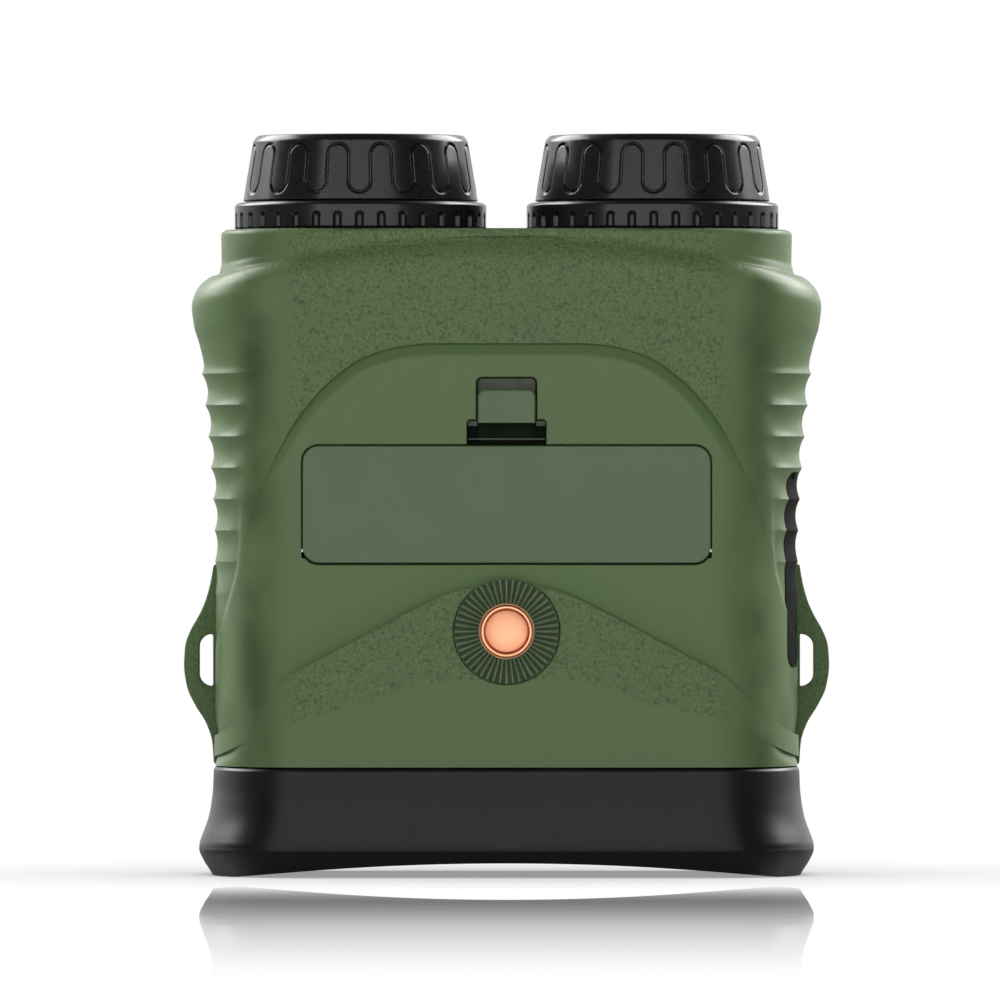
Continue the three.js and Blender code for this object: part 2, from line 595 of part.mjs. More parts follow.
// ---------------------------------------------------------------- tripod socket
add('tripod_pad', turned('y', [
  [TRIPOD_RIM_R + GAP, -30.4], [TRIPOD_PAD_R, -30.4], [TRIPOD_PAD_R, -TRIPOD_FACE],
  [TRIPOD_RIM_R + GAP, -TRIPOD_FACE],
], [0, TRIPOD_Z]), GREEN);
add('tripod_insert', turned('y', [
  [0, -19.5], [6.5, -19.5], [6.5, -25.6], [8.5, -25.6], [8.5, -27.7], [TRIPOD_RIM_R, -27.7],
  [TRIPOD_RIM_R, -TRIPOD_FACE], [TRIPOD_BORE_R, -TRIPOD_FACE], [TRIPOD_BORE_R, -21.5], [0, -21.5],
], [0, TRIPOD_Z], 24), COPPER);

export default group;
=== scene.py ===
"""Looks of a two-eye laser rangefinder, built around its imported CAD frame.

The object stands on its eye hood with the objectives up (+Z). -Y is the underside, with the battery
door and the tripod socket, and faces the camera. +Y is the top side, with the buttons. Shapes are
worked out in millimetres and stored in metres.
"""

import json
import math

import bmesh
import bpy
import numpy as np
from mathutils import Matrix, Vector

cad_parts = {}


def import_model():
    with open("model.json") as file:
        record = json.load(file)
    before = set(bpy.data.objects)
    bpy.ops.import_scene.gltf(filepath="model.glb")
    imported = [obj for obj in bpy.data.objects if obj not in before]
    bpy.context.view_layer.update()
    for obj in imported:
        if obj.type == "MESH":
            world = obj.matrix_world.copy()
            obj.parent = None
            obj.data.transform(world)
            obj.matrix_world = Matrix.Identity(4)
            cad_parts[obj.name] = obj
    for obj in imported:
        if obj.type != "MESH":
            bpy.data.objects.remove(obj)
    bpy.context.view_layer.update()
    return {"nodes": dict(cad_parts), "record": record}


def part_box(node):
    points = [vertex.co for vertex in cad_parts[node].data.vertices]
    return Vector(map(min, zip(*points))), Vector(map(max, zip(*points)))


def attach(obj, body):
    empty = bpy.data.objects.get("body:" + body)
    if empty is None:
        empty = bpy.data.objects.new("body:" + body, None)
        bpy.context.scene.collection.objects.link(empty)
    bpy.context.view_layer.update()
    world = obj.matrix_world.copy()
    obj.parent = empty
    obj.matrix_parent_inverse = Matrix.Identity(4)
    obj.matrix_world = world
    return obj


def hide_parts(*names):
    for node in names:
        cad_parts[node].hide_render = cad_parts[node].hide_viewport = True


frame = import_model()

MM = 0.001
GAP = 0.3
LEFT, RIGHT = 1, -1


def span(node):
    """A CAD node's lowest and highest corners, in millimetres."""
    low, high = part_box(node)
    return np.array(low) / MM, np.array(high) / MM


# ------------------------------------------------------------------ sizes read from the frame
shell_low, shell_high = span("bottom_shell")
SEAM_Z = shell_low[2]
FRONT_Z = shell_high[2]
HALF_DEPTH = -shell_low[1]
door_low, door_high = span("battery_door")
latch_low, latch_high = span("door_latch")
pad_low, pad_high = span("tripod_pad")
cover_low, cover_high = span("port_cover")
BARREL_X = float(sum(span("left_barrel")[i][0] for i in (0, 1)) / 2)
LASER_Y = float(sum(span("laser_tube")[i][1] for i in (0, 1)) / 2)
TRIPOD_Z = (pad_low[2] + pad_high[2]) / 2

FLAT_SHARE = 0.66      # share of a section's half width that is flat
EDGE_POWER = 2.2       # roundness of the long edges
CREST_TOP_Z = 107.3    # first crest of the finger grips
CREST_PITCH = 6.7
GRIP_DIP = 0.85
WAIST = 62.5


# ------------------------------------------------------------------ mesh helpers
def new_object(name, points, faces, sharp=30.0):
    """A mesh object from points in millimetres, smooth except along edges sharper than the angle."""
    mesh = bpy.data.meshes.new(name)
    mesh.from_pydata((np.asarray(points, float) * MM).tolist(), [], faces)
    obj = bpy.data.objects.new(name, mesh)
    bpy.context.scene.collection.objects.link(obj)
    tidy(obj)
    shade(obj, sharp)
    return obj


def tidy(obj):
    """Makes the faces of a closed mesh point out."""
    work = bmesh.new()
    work.from_mesh(obj.data)
    bmesh.ops.recalc_face_normals(work, faces=work.faces)
    if work.calc_volume(signed=True) < 0:
        bmesh.ops.reverse_faces(work, faces=work.faces)
    work.to_mesh(obj.data)
    work.free()


def shade(obj, sharp=30.0):
    obj.data.shade_smooth()
    obj.data.set_sharp_from_angle(angle=math.radians(sharp))


def apply_modifiers(obj):
    graph = bpy.context.evaluated_depsgraph_get()
    mesh = bpy.data.meshes.new_from_object(obj.evaluated_get(graph))
    obj.modifiers.clear()
    old, obj.data = obj.data, mesh
    bpy.data.meshes.remove(old)


def combine(obj, tools, mode):
    """Cuts or joins solids, one after another, and removes the tools."""
    for tool in tools:
        change = obj.modifiers.new("boolean", "BOOLEAN")
        change.operation = mode
        change.solver = "MANIFOLD"
        change.object = tool
        apply_modifiers(obj)
        bpy.data.objects.remove(tool)
    return obj


def cut(obj, *tools):
    return combine(obj, tools, "DIFFERENCE")


def join(obj, *tools):
    return combine(obj, tools, "UNION")


def keep(obj, *tools):
    return combine(obj, tools, "INTERSECT")


def soften(obj, width, segments=3, angle=35.0):
    """Rounds the sharp edges."""
    bevel = obj.modifiers.new("bevel", "BEVEL")
    bevel.width = width * MM
    bevel.segments = segments
    bevel.limit_method = "ANGLE"
    bevel.angle_limit = math.radians(angle)
    apply_modifiers(obj)
    shade(obj)
    return obj


def skin(loops):
    """Points and faces that join loops of equal length, with the first and last loop capped."""
    count = len(loops[0])
    last = (len(loops) - 1) * count
    faces = []
    for base in range(0, last, count):
        for i in range(count):
            j = (i + 1) % count
            faces.append((base + i, base + j, base + count + j, base + count + i))
    faces.append(tuple(reversed(range(count))))
    faces.append(tuple(range(last, last + count)))
    return np.concatenate(loops), faces


def stack(name, levels, axis="y"):
    """A solid skinned over outlines of equal length at chosen depths."""
    loops = []
    for at, outline in levels:
        outline = np.asarray(outline, float)
        layer = np.full(len(outline), at)
        columns = {"x": (layer, outline[:, 0], outline[:, 1]),
                   "y": (outline[:, 0], layer, outline[:, 1]),
                   "z": (outline[:, 0], outline[:, 1], layer)}[axis]
        loops.append(np.column_stack(columns))
    return new_object(name, *skin(loops))


def prism(name, outline, start, end, axis="y"):
    """One outline as a solid between two depths."""
    return stack(name, [(start, outline), (end, outline)], axis)


def rounded(x0, x1, z0, z1, radius, grow=0.0, steps=8):
    """A rectangle with round corners, grown outwards by a margin."""
    x0, x1, z0, z1, radius = x0 - grow, x1 + grow, z0 - grow, z1 + grow, radius + grow
    points = []
    for cx, cz, start in ((x1 - radius, z1 - radius, 0), (x0 + radius, z1 - radius, 90),
                          (x0 + radius, z0 + radius, 180), (x1 - radius, z0 + radius, 270)):
        for i in range(steps + 1):
            turn = math.radians(start + 90 * i / steps)
            points.append((cx + radius * math.cos(turn), cz + radius * math.sin(turn)))
    return points


def fillet(profile, radius, steps=4):
    """Rounds every corner of a closed profile."""
    profile = [np.array(p, float) for p in profile]
    points = []
    for i, corner in enumerate(profile):
        before, after = profile[i - 1], profile[(i + 1) % len(profile)]
        if corner[0] < 1e-6:
            points.append(corner)
            continue
        reach = min(radius, 0.45 * np.linalg.norm(before - corner), 0.45 * np.linalg.norm(after - corner))
        start = corner + (before - corner) / np.linalg.norm(before - corner) * reach
        end = corner + (after - corner) / np.linalg.norm(after - corner) * reach
        for k in range(steps + 1):
            t = k / steps
            points.append((1 - t) ** 2 * start + 2 * t * (1 - t) * corner + t * t * end)
    return points


def lathe(name, profile, centre, axis="z", sides=160, relief=None, sharp=30.0):
    """Turns a closed (radius, height) profile. relief(angle, height, index) takes from the radius."""
    profile = np.array([tuple(p) for p in profile], float)
    angles = np.linspace(0, 2 * math.pi, sides, endpoint=False)
    radius = np.repeat(profile[None, :, 0], sides, axis=0)
    height = np.repeat(profile[None, :, 1], sides, axis=0)
    if relief:
        radius = radius - relief(angles[:, None], height, np.arange(len(profile))[None, :])
    u = radius * np.cos(angles)[:, None] + centre[0]
    v = radius * np.sin(angles)[:, None] + centre[1]
    points = np.stack([u, v, height] if axis == "z" else [u, height, v], axis=-1).reshape(-1, 3)
    count = len(profile)
    on_axis = [i for i in range(count) if profile[i, 0] < 1e-6]
    faces = []
    for s in range(sides):
        a, b = s * count, ((s + 1) % sides) * count
        for i in range(count):
            j = (i + 1) % count
            if i in on_axis and j in on_axis:
                continue
            if i in on_axis:
                faces.append((i, a + j, b + j))
            elif j in on_axis:
                faces.append((a + i, j, b + i))
            else:
                faces.append((a + i, a + j, b + j, b + i))
    obj = new_object(name, points, faces, sharp)
    work = bmesh.new()
    work.from_mesh(obj.data)
    bmesh.ops.delete(work, geom=[v for v in work.verts if not v.link_faces], context="VERTS")
    work.to_mesh(obj.data)
    work.free()
    tidy(obj)
    shade(obj, sharp)
    return obj


def rod(name, radius, low, high, place, axis="y", sides=48):
    """A plain round solid, to cut with or to join on."""
    return lathe(name, [(0, low), (radius, low), (radius, high), (0, high)], place, axis, sides)


def smoothstep(value, low, high):
    t = np.clip((value - low) / (high - low), 0, 1)
    return t * t * (3 - 2 * t)


def through(keys, at):
    """A smooth curve without overshoot through (place, value) keys."""
    x, y = np.array(keys, float).T
    step = np.diff(x)
    slope = np.diff(y) / step
    tangent = np.zeros(len(x))
    for i in range(1, len(x) - 1):
        if slope[i - 1] * slope[i] > 0:
            tangent[i] = 2 * slope[i - 1] * slope[i] / (slope[i - 1] + slope[i])
    tangent[0], tangent[-1] = slope[0], slope[-1]
    at = np.clip(at, x[0], x[-1])
    k = np.clip(np.searchsorted(x, at) - 1, 0, len(step) - 1)
    t = (at - x[k]) / step[k]
    return ((2 * t ** 3 - 3 * t ** 2 + 1) * y[k] + (t ** 3 - 2 * t ** 2 + t) * step[k] * tangent[k]
            + (3 * t ** 2 - 2 * t ** 3) * y[k + 1] + (t ** 3 - t ** 2) * step[k] * tangent[k + 1])


def distance(x, z, line):
    """Distance in X and Z from points to a polyline."""
    best = np.full(x.shape, 1e9)
    for (x0, z0), (x1, z1) in zip(line[:-1], line[1:]):
        dx, dz = x1 - x0, z1 - z0
        t = np.clip(((x - x0) * dx + (z - z0) * dz) / (dx * dx + dz * dz), 0, 1)
        best = np.minimum(best, np.hypot(x - x0 - t * dx, z - z0 - t * dz))
    return best


def inside(x, z, outline):
    """Whether points lie inside a closed outline."""
    result = np.zeros(x.shape, bool)
    for (x0, z0), (x1, z1) in zip(outline, outline[1:] + outline[:1]):
        if z0 == z1:
            continue
        crosses = (z0 > z) != (z1 > z)
        result ^= crosses & (x < (x1 - x0) * (z - z0) / (z1 - z0) + x0)
    return result


def curve_points(keys, steps=60):
    """A smooth line through points, spaced by their distance along it."""
    keys = np.array(keys, float)
    along = np.concatenate([[0], np.cumsum(np.hypot(*np.diff(keys, axis=0).T))])
    at = np.linspace(0, along[-1], steps)
    x, z = (through(np.column_stack([along, column]), at) for column in keys.T)
    return list(zip(x, z))


# ------------------------------------------------------------------ housing surface
# (height, half width, half depth, rise of the middle above the ends)
SHOULDER = [
    (CREST_TOP_Z, 65.3, 31.0, 0.0), (108.8, 64.9, 31.0, 0.0), (113.5, 65.8, 31.0, 2.2),
    (117.5, 67.0, 31.0, 5.0), (122.0, 67.5, 31.0, 6.4), (124.4, 66.9, 30.8, 6.8),
    (126.2, 65.8, 30.2, 7.0), (127.8, 64.0, 29.4, 7.0), (129.3, 61.7, 28.7, 6.9),
    (131.0, 61.1, 28.5, 5.5), (137.1, 61.2, 28.5, 0.0), (137.8, 60.9, 28.2, 0.0),
    (138.1, 60.2, 27.5, 0.0),
]
GRIP_EDGE = [(46.0, 63.5), (50.0, 62.2), (54.0, 60.9), (69.6, 57.2), (80.5, 56.9), (87.2, 56.3),
             (93.9, 55.5), (100.6, 55.0), (110.0, 56.5), (122.0, 60.0)]
ARCH = [(-57.4, 67.1), (-55.6, 72.0), (-53.7, 78.5), (-50.8, 85.5), (-45.5, 96.1), (-39.7, 103.5),
        (-35.2, 107.5), (-31.5, 110.1), (-27.0, 111.9), (-22.0, 113.1), (-17.0, 113.6)]
BAND_TOP = [(-75.0, 25.5), (-62.6, 29.9), (-56.0, 34.0), (-51.5, 37.8), (-46.5, 42.6), (-37.7, 47.4),
            (-28.9, 52.1), (-20.0, 56.8), (-10.0, 61.0), (0.0, 62.5)]
BAND_LOW = [(-75.0, 21.0), (-62.4, 25.5), (-56.4, 28.2), (-50.0, 30.9), (-40.3, 34.6), (-28.9, 37.4),
            (-23.0, 39.8), (-17.1, 41.2), (-11.2, 42.0), (0.0, 42.4)]


def mirrored(line):
    return line + [(-x, z) for x, z in reversed(line) if abs(x) > 1e-6]


arch_line = mirrored(curve_points(ARCH))
band_top_line = mirrored(curve_points(BAND_TOP))
band_low_line = mirrored(curve_points(BAND_LOW))
UPPER_PANEL = [(-75.0, 67.1)] + arch_line + [(75.0, 67.1), (75.0, 150.0), (-75.0, 150.0)]
BAND = band_top_line + list(reversed(band_low_line))

ARCH_STEP, ARCH_SCOOP = 1.45, 2.6
BAND_STEP, BAND_SCOOP = 1.15, 6.5
CREASE_Z, CREASE_RISE, CREASE_HALF = 129.0, 7.1, 61.0     # fold between the collar and the body
CREASE_SOFT, CREASE_SHARP = 0.35, 0.45
LEAST_STEP = 0.04
GRIP_STEP = 0.55


def housing_rows():
    """Rows of the housing's surface: height, half width, half depth, rise, and depth of the grips."""
    below = np.linspace(SEAM_Z, 53.7, 52)[:-1]
    grips = CREST_TOP_Z - np.arange(120, -1, -1) * (CREST_PITCH / 15)
    above = np.linspace(CREST_TOP_Z, FRONT_Z, 76)[1:]
    z = np.concatenate([below, grips, above])
    spread = 2.8 * np.clip((z - 70) / (CREST_TOP_Z - 70), 0, None) ** 1.5
    waist = WAIST + spread + 0.2 * smoothstep(-z, -45, -SEAM_Z)
    columns = np.array(SHOULDER).T
    upper = [through(np.column_stack([columns[0], column]), z) for column in columns[1:]]
    is_upper = z > CREST_TOP_Z
    w = np.where(is_upper, upper[0], waist)
    d = np.where(is_upper, upper[1], HALF_DEPTH)
    rise = np.where(is_upper, upper[2], 0)
    share = ((CREST_TOP_Z - z) / CREST_PITCH) % 1
    dip = GRIP_DIP * smoothstep(z, 50, 85) * (1 - (2 * share - 1) ** 2) * (z < CREST_TOP_Z)
    return z, w, d, rise, dip


def recess(x, height):
    """How far the plain faces lie below the grained panels, deepest along the panels' edges."""
    fade = smoothstep(height, 84, 100)
    near_arch = np.clip(1 - distance(x, height, arch_line) / ARCH_SCOOP, 0, None)
    near_band = np.clip(1 - distance(x, height, band_top_line) / BAND_SCOOP, 0, None) ** 2
    on_side = smoothstep(np.abs(x), 56, 60)
    near_band = near_band * (1 - 0.8 * smoothstep(np.abs(x), 44, 54) + 0.6 * on_side)
    under_band = 0.6 * on_side * np.clip(1 - distance(x, height, band_low_line) / 2.2, 0, None)
    near_band = np.maximum(near_band, under_band)
    return np.maximum(ARCH_STEP * near_arch * fade, BAND_STEP * near_band) + LEAST_STEP


def housing_grid(side, recessed):
    """Points of one half's outside, rows by columns, from +X round to -X."""
    z, w, d, rise, dip = (row[:, None] for row in housing_rows())
    turn = np.radians(np.linspace(0, 90, 46))[None, :-1]
    flat = FLAT_SHARE * w
    corner_x = flat + (w - flat) * np.cos(turn) ** (2 / EDGE_POWER)
    corner_y = d * np.sin(turn) ** (2 / EDGE_POWER)
    across = flat * np.linspace(1, -1, 134)[None, :]
    x = np.concatenate([corner_x, across, -corner_x[:, ::-1]], axis=1)
    y = np.concatenate([corner_y, np.repeat(d, across.shape[1], axis=1), corner_y[:, ::-1]], axis=1)
    height = z + rise * np.clip(1 - (x / w) ** 2, 0, None)
    points = np.stack([x, side * np.maximum(y, GAP / 2), height], axis=-1)
    along, around = np.gradient(points, axis=0), np.gradient(points, axis=1)
    normal = np.cross(around, along)
    normal /= np.linalg.norm(normal, axis=-1, keepdims=True) + 1e-12
    normal *= np.sign((normal * (points * [1, 1, 0])).sum(-1, keepdims=True))
    edge = through(GRIP_EDGE, height)
    reach = np.abs(x) - edge
    on_grip = smoothstep(reach, -0.3, 0.35) * smoothstep(z, 46, 54) * (1 - smoothstep(z, 70, 84))
    facet = GRIP_STEP * np.clip(1 - reach / np.maximum(w - edge, 1), 0, 1) * on_grip
    crease = height - (CREASE_Z + CREASE_RISE * np.clip(1 - (x / CREASE_HALF) ** 2, 0, None))
    fold = CREASE_SOFT * np.exp(-(crease / 2.2) ** 2) * smoothstep(CREASE_HALF - np.abs(x), 4, 16)
    fold = fold + CREASE_SHARP * np.exp(-(crease / 0.55) ** 2) * smoothstep(np.abs(x), 40, 54)
    sink = facet + fold + dip * smoothstep(reach, -1.5, 3.5)
    if recessed:
        sink = sink + recess(x, height)
    points = points - normal * sink[..., None]
    points[..., 1] = side * np.maximum(side * points[..., 1], GAP / 2)
    points[:, 0, 1] = points[:, -1, 1] = side * GAP / 2
    points[0, :, 2] = SEAM_Z
    points[-1, :, 2] = FRONT_Z
    return points


def half_housing(name, side, recessed):
    """One half of the housing as a filled solid."""
    return new_object(name, *skin(list(housing_grid(side, recessed))))


def section(half_w, half_d, turns, flats):
    """X and Y round one level section of the body, whose long edges are round."""
    flat = FLAT_SHARE * half_w
    turn = np.radians(np.linspace(0, 90, turns + 1))
    round_x = flat + (half_w - flat) * np.cos(turn) ** (2 / EDGE_POWER)
    round_y = half_d * np.sin(turn) ** (2 / EDGE_POWER)
    x = np.concatenate([round_x, flat * np.linspace(1, 0, flats + 1)[1:]])
    y = np.concatenate([round_y, np.full(flats, half_d)])
    return (np.concatenate([x, -x[-2::-1], -x[1:], x[-2:0:-1]]),
            np.concatenate([y, y[-2::-1], -y[1:], -y[-2:0:-1]]))


def loft(name, sections, inset=0.0, turns=14):
    """A filled solid over sections (height, half width, half depth, rise)."""
    loops = []
    for z, w, d, rise in sections:
        x, y = section(w - inset, d - inset, turns, 8)
        loops.append(np.column_stack([x, y, z + rise * np.clip(1 - (x / (w - inset)) ** 2, 0, None)]))
    return new_object(name, *skin(loops))


# Sections of the hollow inside the shells, and of the plain body that the port cover lies on.
CAVITY = [(SEAM_Z - 2, 59.7, 28, 0), (45, 59.5, 28, 0), (85, 59.5, 28, 0), (109, 61.9, 28, 0),
          (119, 64.2, 28, 2), (122.5, 63.4, 28, 4), (128, 58.2, 25.6, 5), (FRONT_Z + 1, 58.2, 25.6, 0)]
PLAIN = [(SEAM_Z - 1, 62.7, 31, 0), (45, 62.5, 31, 0), (70, 62.5, 31, 0), (88, 63.4, 31, 0),
         (100, 64.5, 31, 0)]


def housing_half(name, side):
    """A shell half: recessed surface joined with its raised, grained panels, then hollowed."""
    shell = half_housing(name, side, True)
    depth = (0, side * 40)
    for outline in (UPPER_PANEL, BAND):
        raised = keep(half_housing("raised", side, False), prism("panel", outline, min(depth), max(depth)))
        join(shell, raised)
    return cut(shell, loft("cavity", CAVITY))


# ------------------------------------------------------------------ materials
class Look:
    """A procedural material, built node by node."""

    def __init__(self, name, color, roughness, **sockets):
        self.material = bpy.data.materials.new(name)
        self.material.use_nodes = True
        self.nodes = self.material.node_tree.nodes
        self.links = self.material.node_tree.links
        self.shader = self.nodes["Principled BSDF"]
        self.shader.inputs["Base Color"].default_value = (*color, 1)
        self.shader.inputs["Roughness"].default_value = roughness
        for socket, value in sockets.items():
            self.shader.inputs[socket.replace("_", " ")].default_value = value
        self.place = self.nodes.new("ShaderNodeTexCoord").outputs["Object"]
        self.color = color

    def noise(self, scale, detail=3.0, rough=0.5):
        """Noise with features about 1 / scale metres across."""
        node = self.nodes.new("ShaderNodeTexNoise")
        node.inputs["Scale"].default_value = scale
        node.inputs["Detail"].default_value = detail
        node.inputs["Roughness"].default_value = rough
        self.links.new(self.place, node.inputs["Vector"])
        return node.outputs["Fac"]

    def stretched(self, scale, stretch):
        """Noise drawn out along an axis."""
        mapping = self.nodes.new("ShaderNodeMapping")
        mapping.inputs["Scale"].default_value = stretch
        self.links.new(self.place, mapping.inputs["Vector"])
        node = self.nodes.new("ShaderNodeTexNoise")
        node.inputs["Scale"].default_value = scale
        self.links.new(mapping.outputs["Vector"], node.inputs["Vector"])
        return node.outputs["Fac"]

    def cells(self, scale):
        node = self.nodes.new("ShaderNodeTexVoronoi")
        node.inputs["Scale"].default_value = scale
        self.links.new(self.place, node.inputs["Vector"])
        return node.outputs["Distance"]

    def ramp(self, value, low, high, at=(0.35, 0.65)):
        """A value turned into a range of numbers."""
        node = self.nodes.new("ShaderNodeMapRange")
        node.inputs["From Min"].default_value = at[0]
        node.inputs["From Max"].default_value = at[1]
        node.inputs["To Min"].default_value = low
        node.inputs["To Max"].default_value = high
        self.links.new(value, node.inputs["Value"])
        return node.outputs["Result"]

    def math(self, operation, a, b):
        """Two values put together."""
        node = self.nodes.new("ShaderNodeMath")
        node.operation = operation
        self.links.new(a, node.inputs[0])
        self.links.new(b, node.inputs[1])
        return node.outputs[0]

    def attribute(self, name):
        node = self.nodes.new("ShaderNodeAttribute")
        node.attribute_name = name
        return node.outputs["Fac"]

    def tint(self, value, other, at=(0.35, 0.65)):
        """Varies the base colour towards another colour."""
        node = self.nodes.new("ShaderNodeMix")
        node.data_type = "RGBA"
        self.links.new(self.ramp(value, 0, 1, at), node.inputs[0])
        before = self.shader.inputs["Base Color"]
        if before.is_linked:
            self.links.new(before.links[0].from_socket, node.inputs[6])
        else:
            node.inputs[6].default_value = (*self.color, 1)
        node.inputs[7].default_value = (*other, 1)
        self.links.new(node.outputs[2], before)

    def vary_roughness(self, value, low, high):
        self.links.new(self.ramp(value, low, high), self.shader.inputs["Roughness"])

    def bump(self, value, depth_mm, strength=None):
        """Raises the surface by a value, over a depth in millimetres, on top of earlier bumps."""
        node = self.nodes.new("ShaderNodeBump")
        node.inputs["Distance"].default_value = depth_mm * MM
        node.inputs["Strength"].default_value = 1.0
        if strength is not None:
            self.links.new(strength, node.inputs["Strength"])
        self.links.new(value, node.inputs["Height"])
        before = self.shader.inputs["Normal"]
        if before.is_linked:
            self.links.new(before.links[0].from_socket, node.inputs["Normal"])
        self.links.new(node.outputs["Normal"], before)


def scaled(color, factor):
    return tuple(min(1.0, c * factor) for c in color)


GREEN = (0.102, 0.164, 0.066)
BROWNER = (0.112, 0.163, 0.070)
GREEN_SHINE = 0.17


def green_smooth():
    look = Look("green_smooth", GREEN, 0.34, Specular_IOR_Level=GREEN_SHINE)
    # painted shade: the base colour darkens along the fold beside the grips
    look.tint(look.attribute("valley"), scaled(GREEN, 0.5), (0, 1))
    look.tint(look.noise(60, 2), scaled(BROWNER, 0.96))
    look.vary_roughness(look.noise(900, 3), 0.31, 0.37)
    look.bump(look.noise(5200, 2), 0.006)
    return look.material


def green_grain():
    look = Look("green_grain", GREEN, 0.36, Specular_IOR_Level=GREEN_SHINE)
    # painted shade: the base colour darkens along the fold beside the grips
    look.tint(look.attribute("valley"), scaled(GREEN, 0.5), (0, 1))
    strength = look.attribute("grain")
    look.tint(look.noise(60, 2), scaled(BROWNER, 0.96))
    look.tint(look.math("MULTIPLY", strength, look.noise(1500, 3)), scaled(GREEN, 0.5), (0.5, 0.72))
    look.tint(look.math("MULTIPLY", strength, look.noise(1900, 2)), scaled(BROWNER, 1.5), (0.55, 0.75))
    look.vary_roughness(look.noise(1200, 2), 0.32, 0.44)
    look.bump(look.noise(1150, 3, 0.6), 0.3, strength)
    look.bump(look.cells(1500), 0.1, strength)
    return look.material


def green_lug():
    look = Look("green_lug", scaled(GREEN, 0.9), 0.4, Specular_IOR_Level=GREEN_SHINE)
    look.tint(look.noise(1900, 2), scaled(GREEN, 0.55), (0.52, 0.7))
    look.vary_roughness(look.noise(1500, 2), 0.45, 0.62)
    look.bump(look.noise(1150, 3, 0.6), 0.3)
    look.bump(look.cells(1500), 0.1)
    return look.material


def green_door():
    look = Look("green_door", (0.1, 0.153, 0.078), 0.36, Specular_IOR_Level=0.2)
    look.tint(look.noise(70, 2), (0.108, 0.156, 0.082))
    look.vary_roughness(look.noise(1600, 3), 0.33, 0.4)
    look.bump(look.noise(3000, 3), 0.012)
    return look.material


def green_ribs():
    look = Look("green_ribs", (0.125, 0.168, 0.098), 0.4, Specular_IOR_Level=0.3)
    look.tint(look.noise(800, 3), scaled(GREEN, 0.9))
    # painted shade in the grooves between the ribs: the colour darkens with groove depth
    look.tint(look.attribute("groove"), scaled(GREEN, 0.2), (0.1, 1.1))
    look.vary_roughness(look.noise(1500, 2), 0.4, 0.6)
    look.bump(look.noise(2500, 3), 0.03)
    return look.material


def rubber(name, value=0.004, roughness=0.36, shine=0.2):
    look = Look(name, (value, value, value), roughness, Specular_IOR_Level=shine)
    look.tint(look.noise(150, 3), (value * 1.25, value * 1.25, value * 1.22))
    look.vary_roughness(look.noise(1200, 3), roughness - 0.02, roughness + 0.02)
    look.bump(look.noise(3500, 3), 0.004)
    return look.material


def plastic(name, color, roughness, grain=0.01, shine=0.5):
    look = Look(name, color, roughness, Specular_IOR_Level=shine)
    look.tint(look.noise(250, 3), scaled(color, 1.35))
    look.vary_roughness(look.noise(1500, 3), roughness - 0.06, roughness + 0.08)
    look.bump(look.noise(2600, 3), grain)
    return look.material


def anodised(name, color, roughness):
    look = Look(name, color, roughness, Specular_IOR_Level=0.3)
    look.tint(look.noise(900, 3), scaled(color, 1.25))
    look.vary_roughness(look.noise(2400, 2), roughness - 0.03, roughness + 0.03)
    look.bump(look.noise(4200, 2), 0.003)
    return look.material


def turned_metal(name, color, roughness):
    look = Look(name, color, roughness, Metallic=1.0)
    look.tint(look.noise(350, 3), scaled(color, 0.95))
    look.vary_roughness(look.stretched(900, (1, 1, 8)), roughness - 0.02, roughness + 0.03)
    look.bump(look.noise(5000, 2), 0.002)
    return look.material


def lens_glass(name, tint, coat):
    look = Look(name, tint, 0.02, Transmission_Weight=1.0, IOR=1.5, Coat_Weight=1.0, Coat_Roughness=0.02)
    look.shader.inputs["Coat Tint"].default_value = (*coat, 1)
    look.vary_roughness(look.noise(300, 2), 0.005, 0.03)
    return look.material


def screen():
    look = Look("screen", (0.004, 0.005, 0.008), 0.12)
    look.tint(look.noise(400, 2), (0.008, 0.012, 0.02))
    look.vary_roughness(look.noise(700, 2), 0.08, 0.16)
    return look.material


def circuit():
    look = Look("circuit", (0.012, 0.075, 0.03), 0.35)
    look.tint(look.cells(420), (0.02, 0.12, 0.05), (0.2, 0.25))
    look.vary_roughness(look.noise(900, 2), 0.28, 0.45)
    look.bump(look.cells(420), 0.03)
    return look.material


def cell_wrap():
    look = Look("cell_wrap", (0.02, 0.06, 0.2), 0.3)
    look.tint(look.noise(90, 2), (0.03, 0.09, 0.28))
    look.vary_roughness(look.noise(600, 2), 0.22, 0.36)
    look.bump(look.noise(500, 2), 0.02)
    return look.material


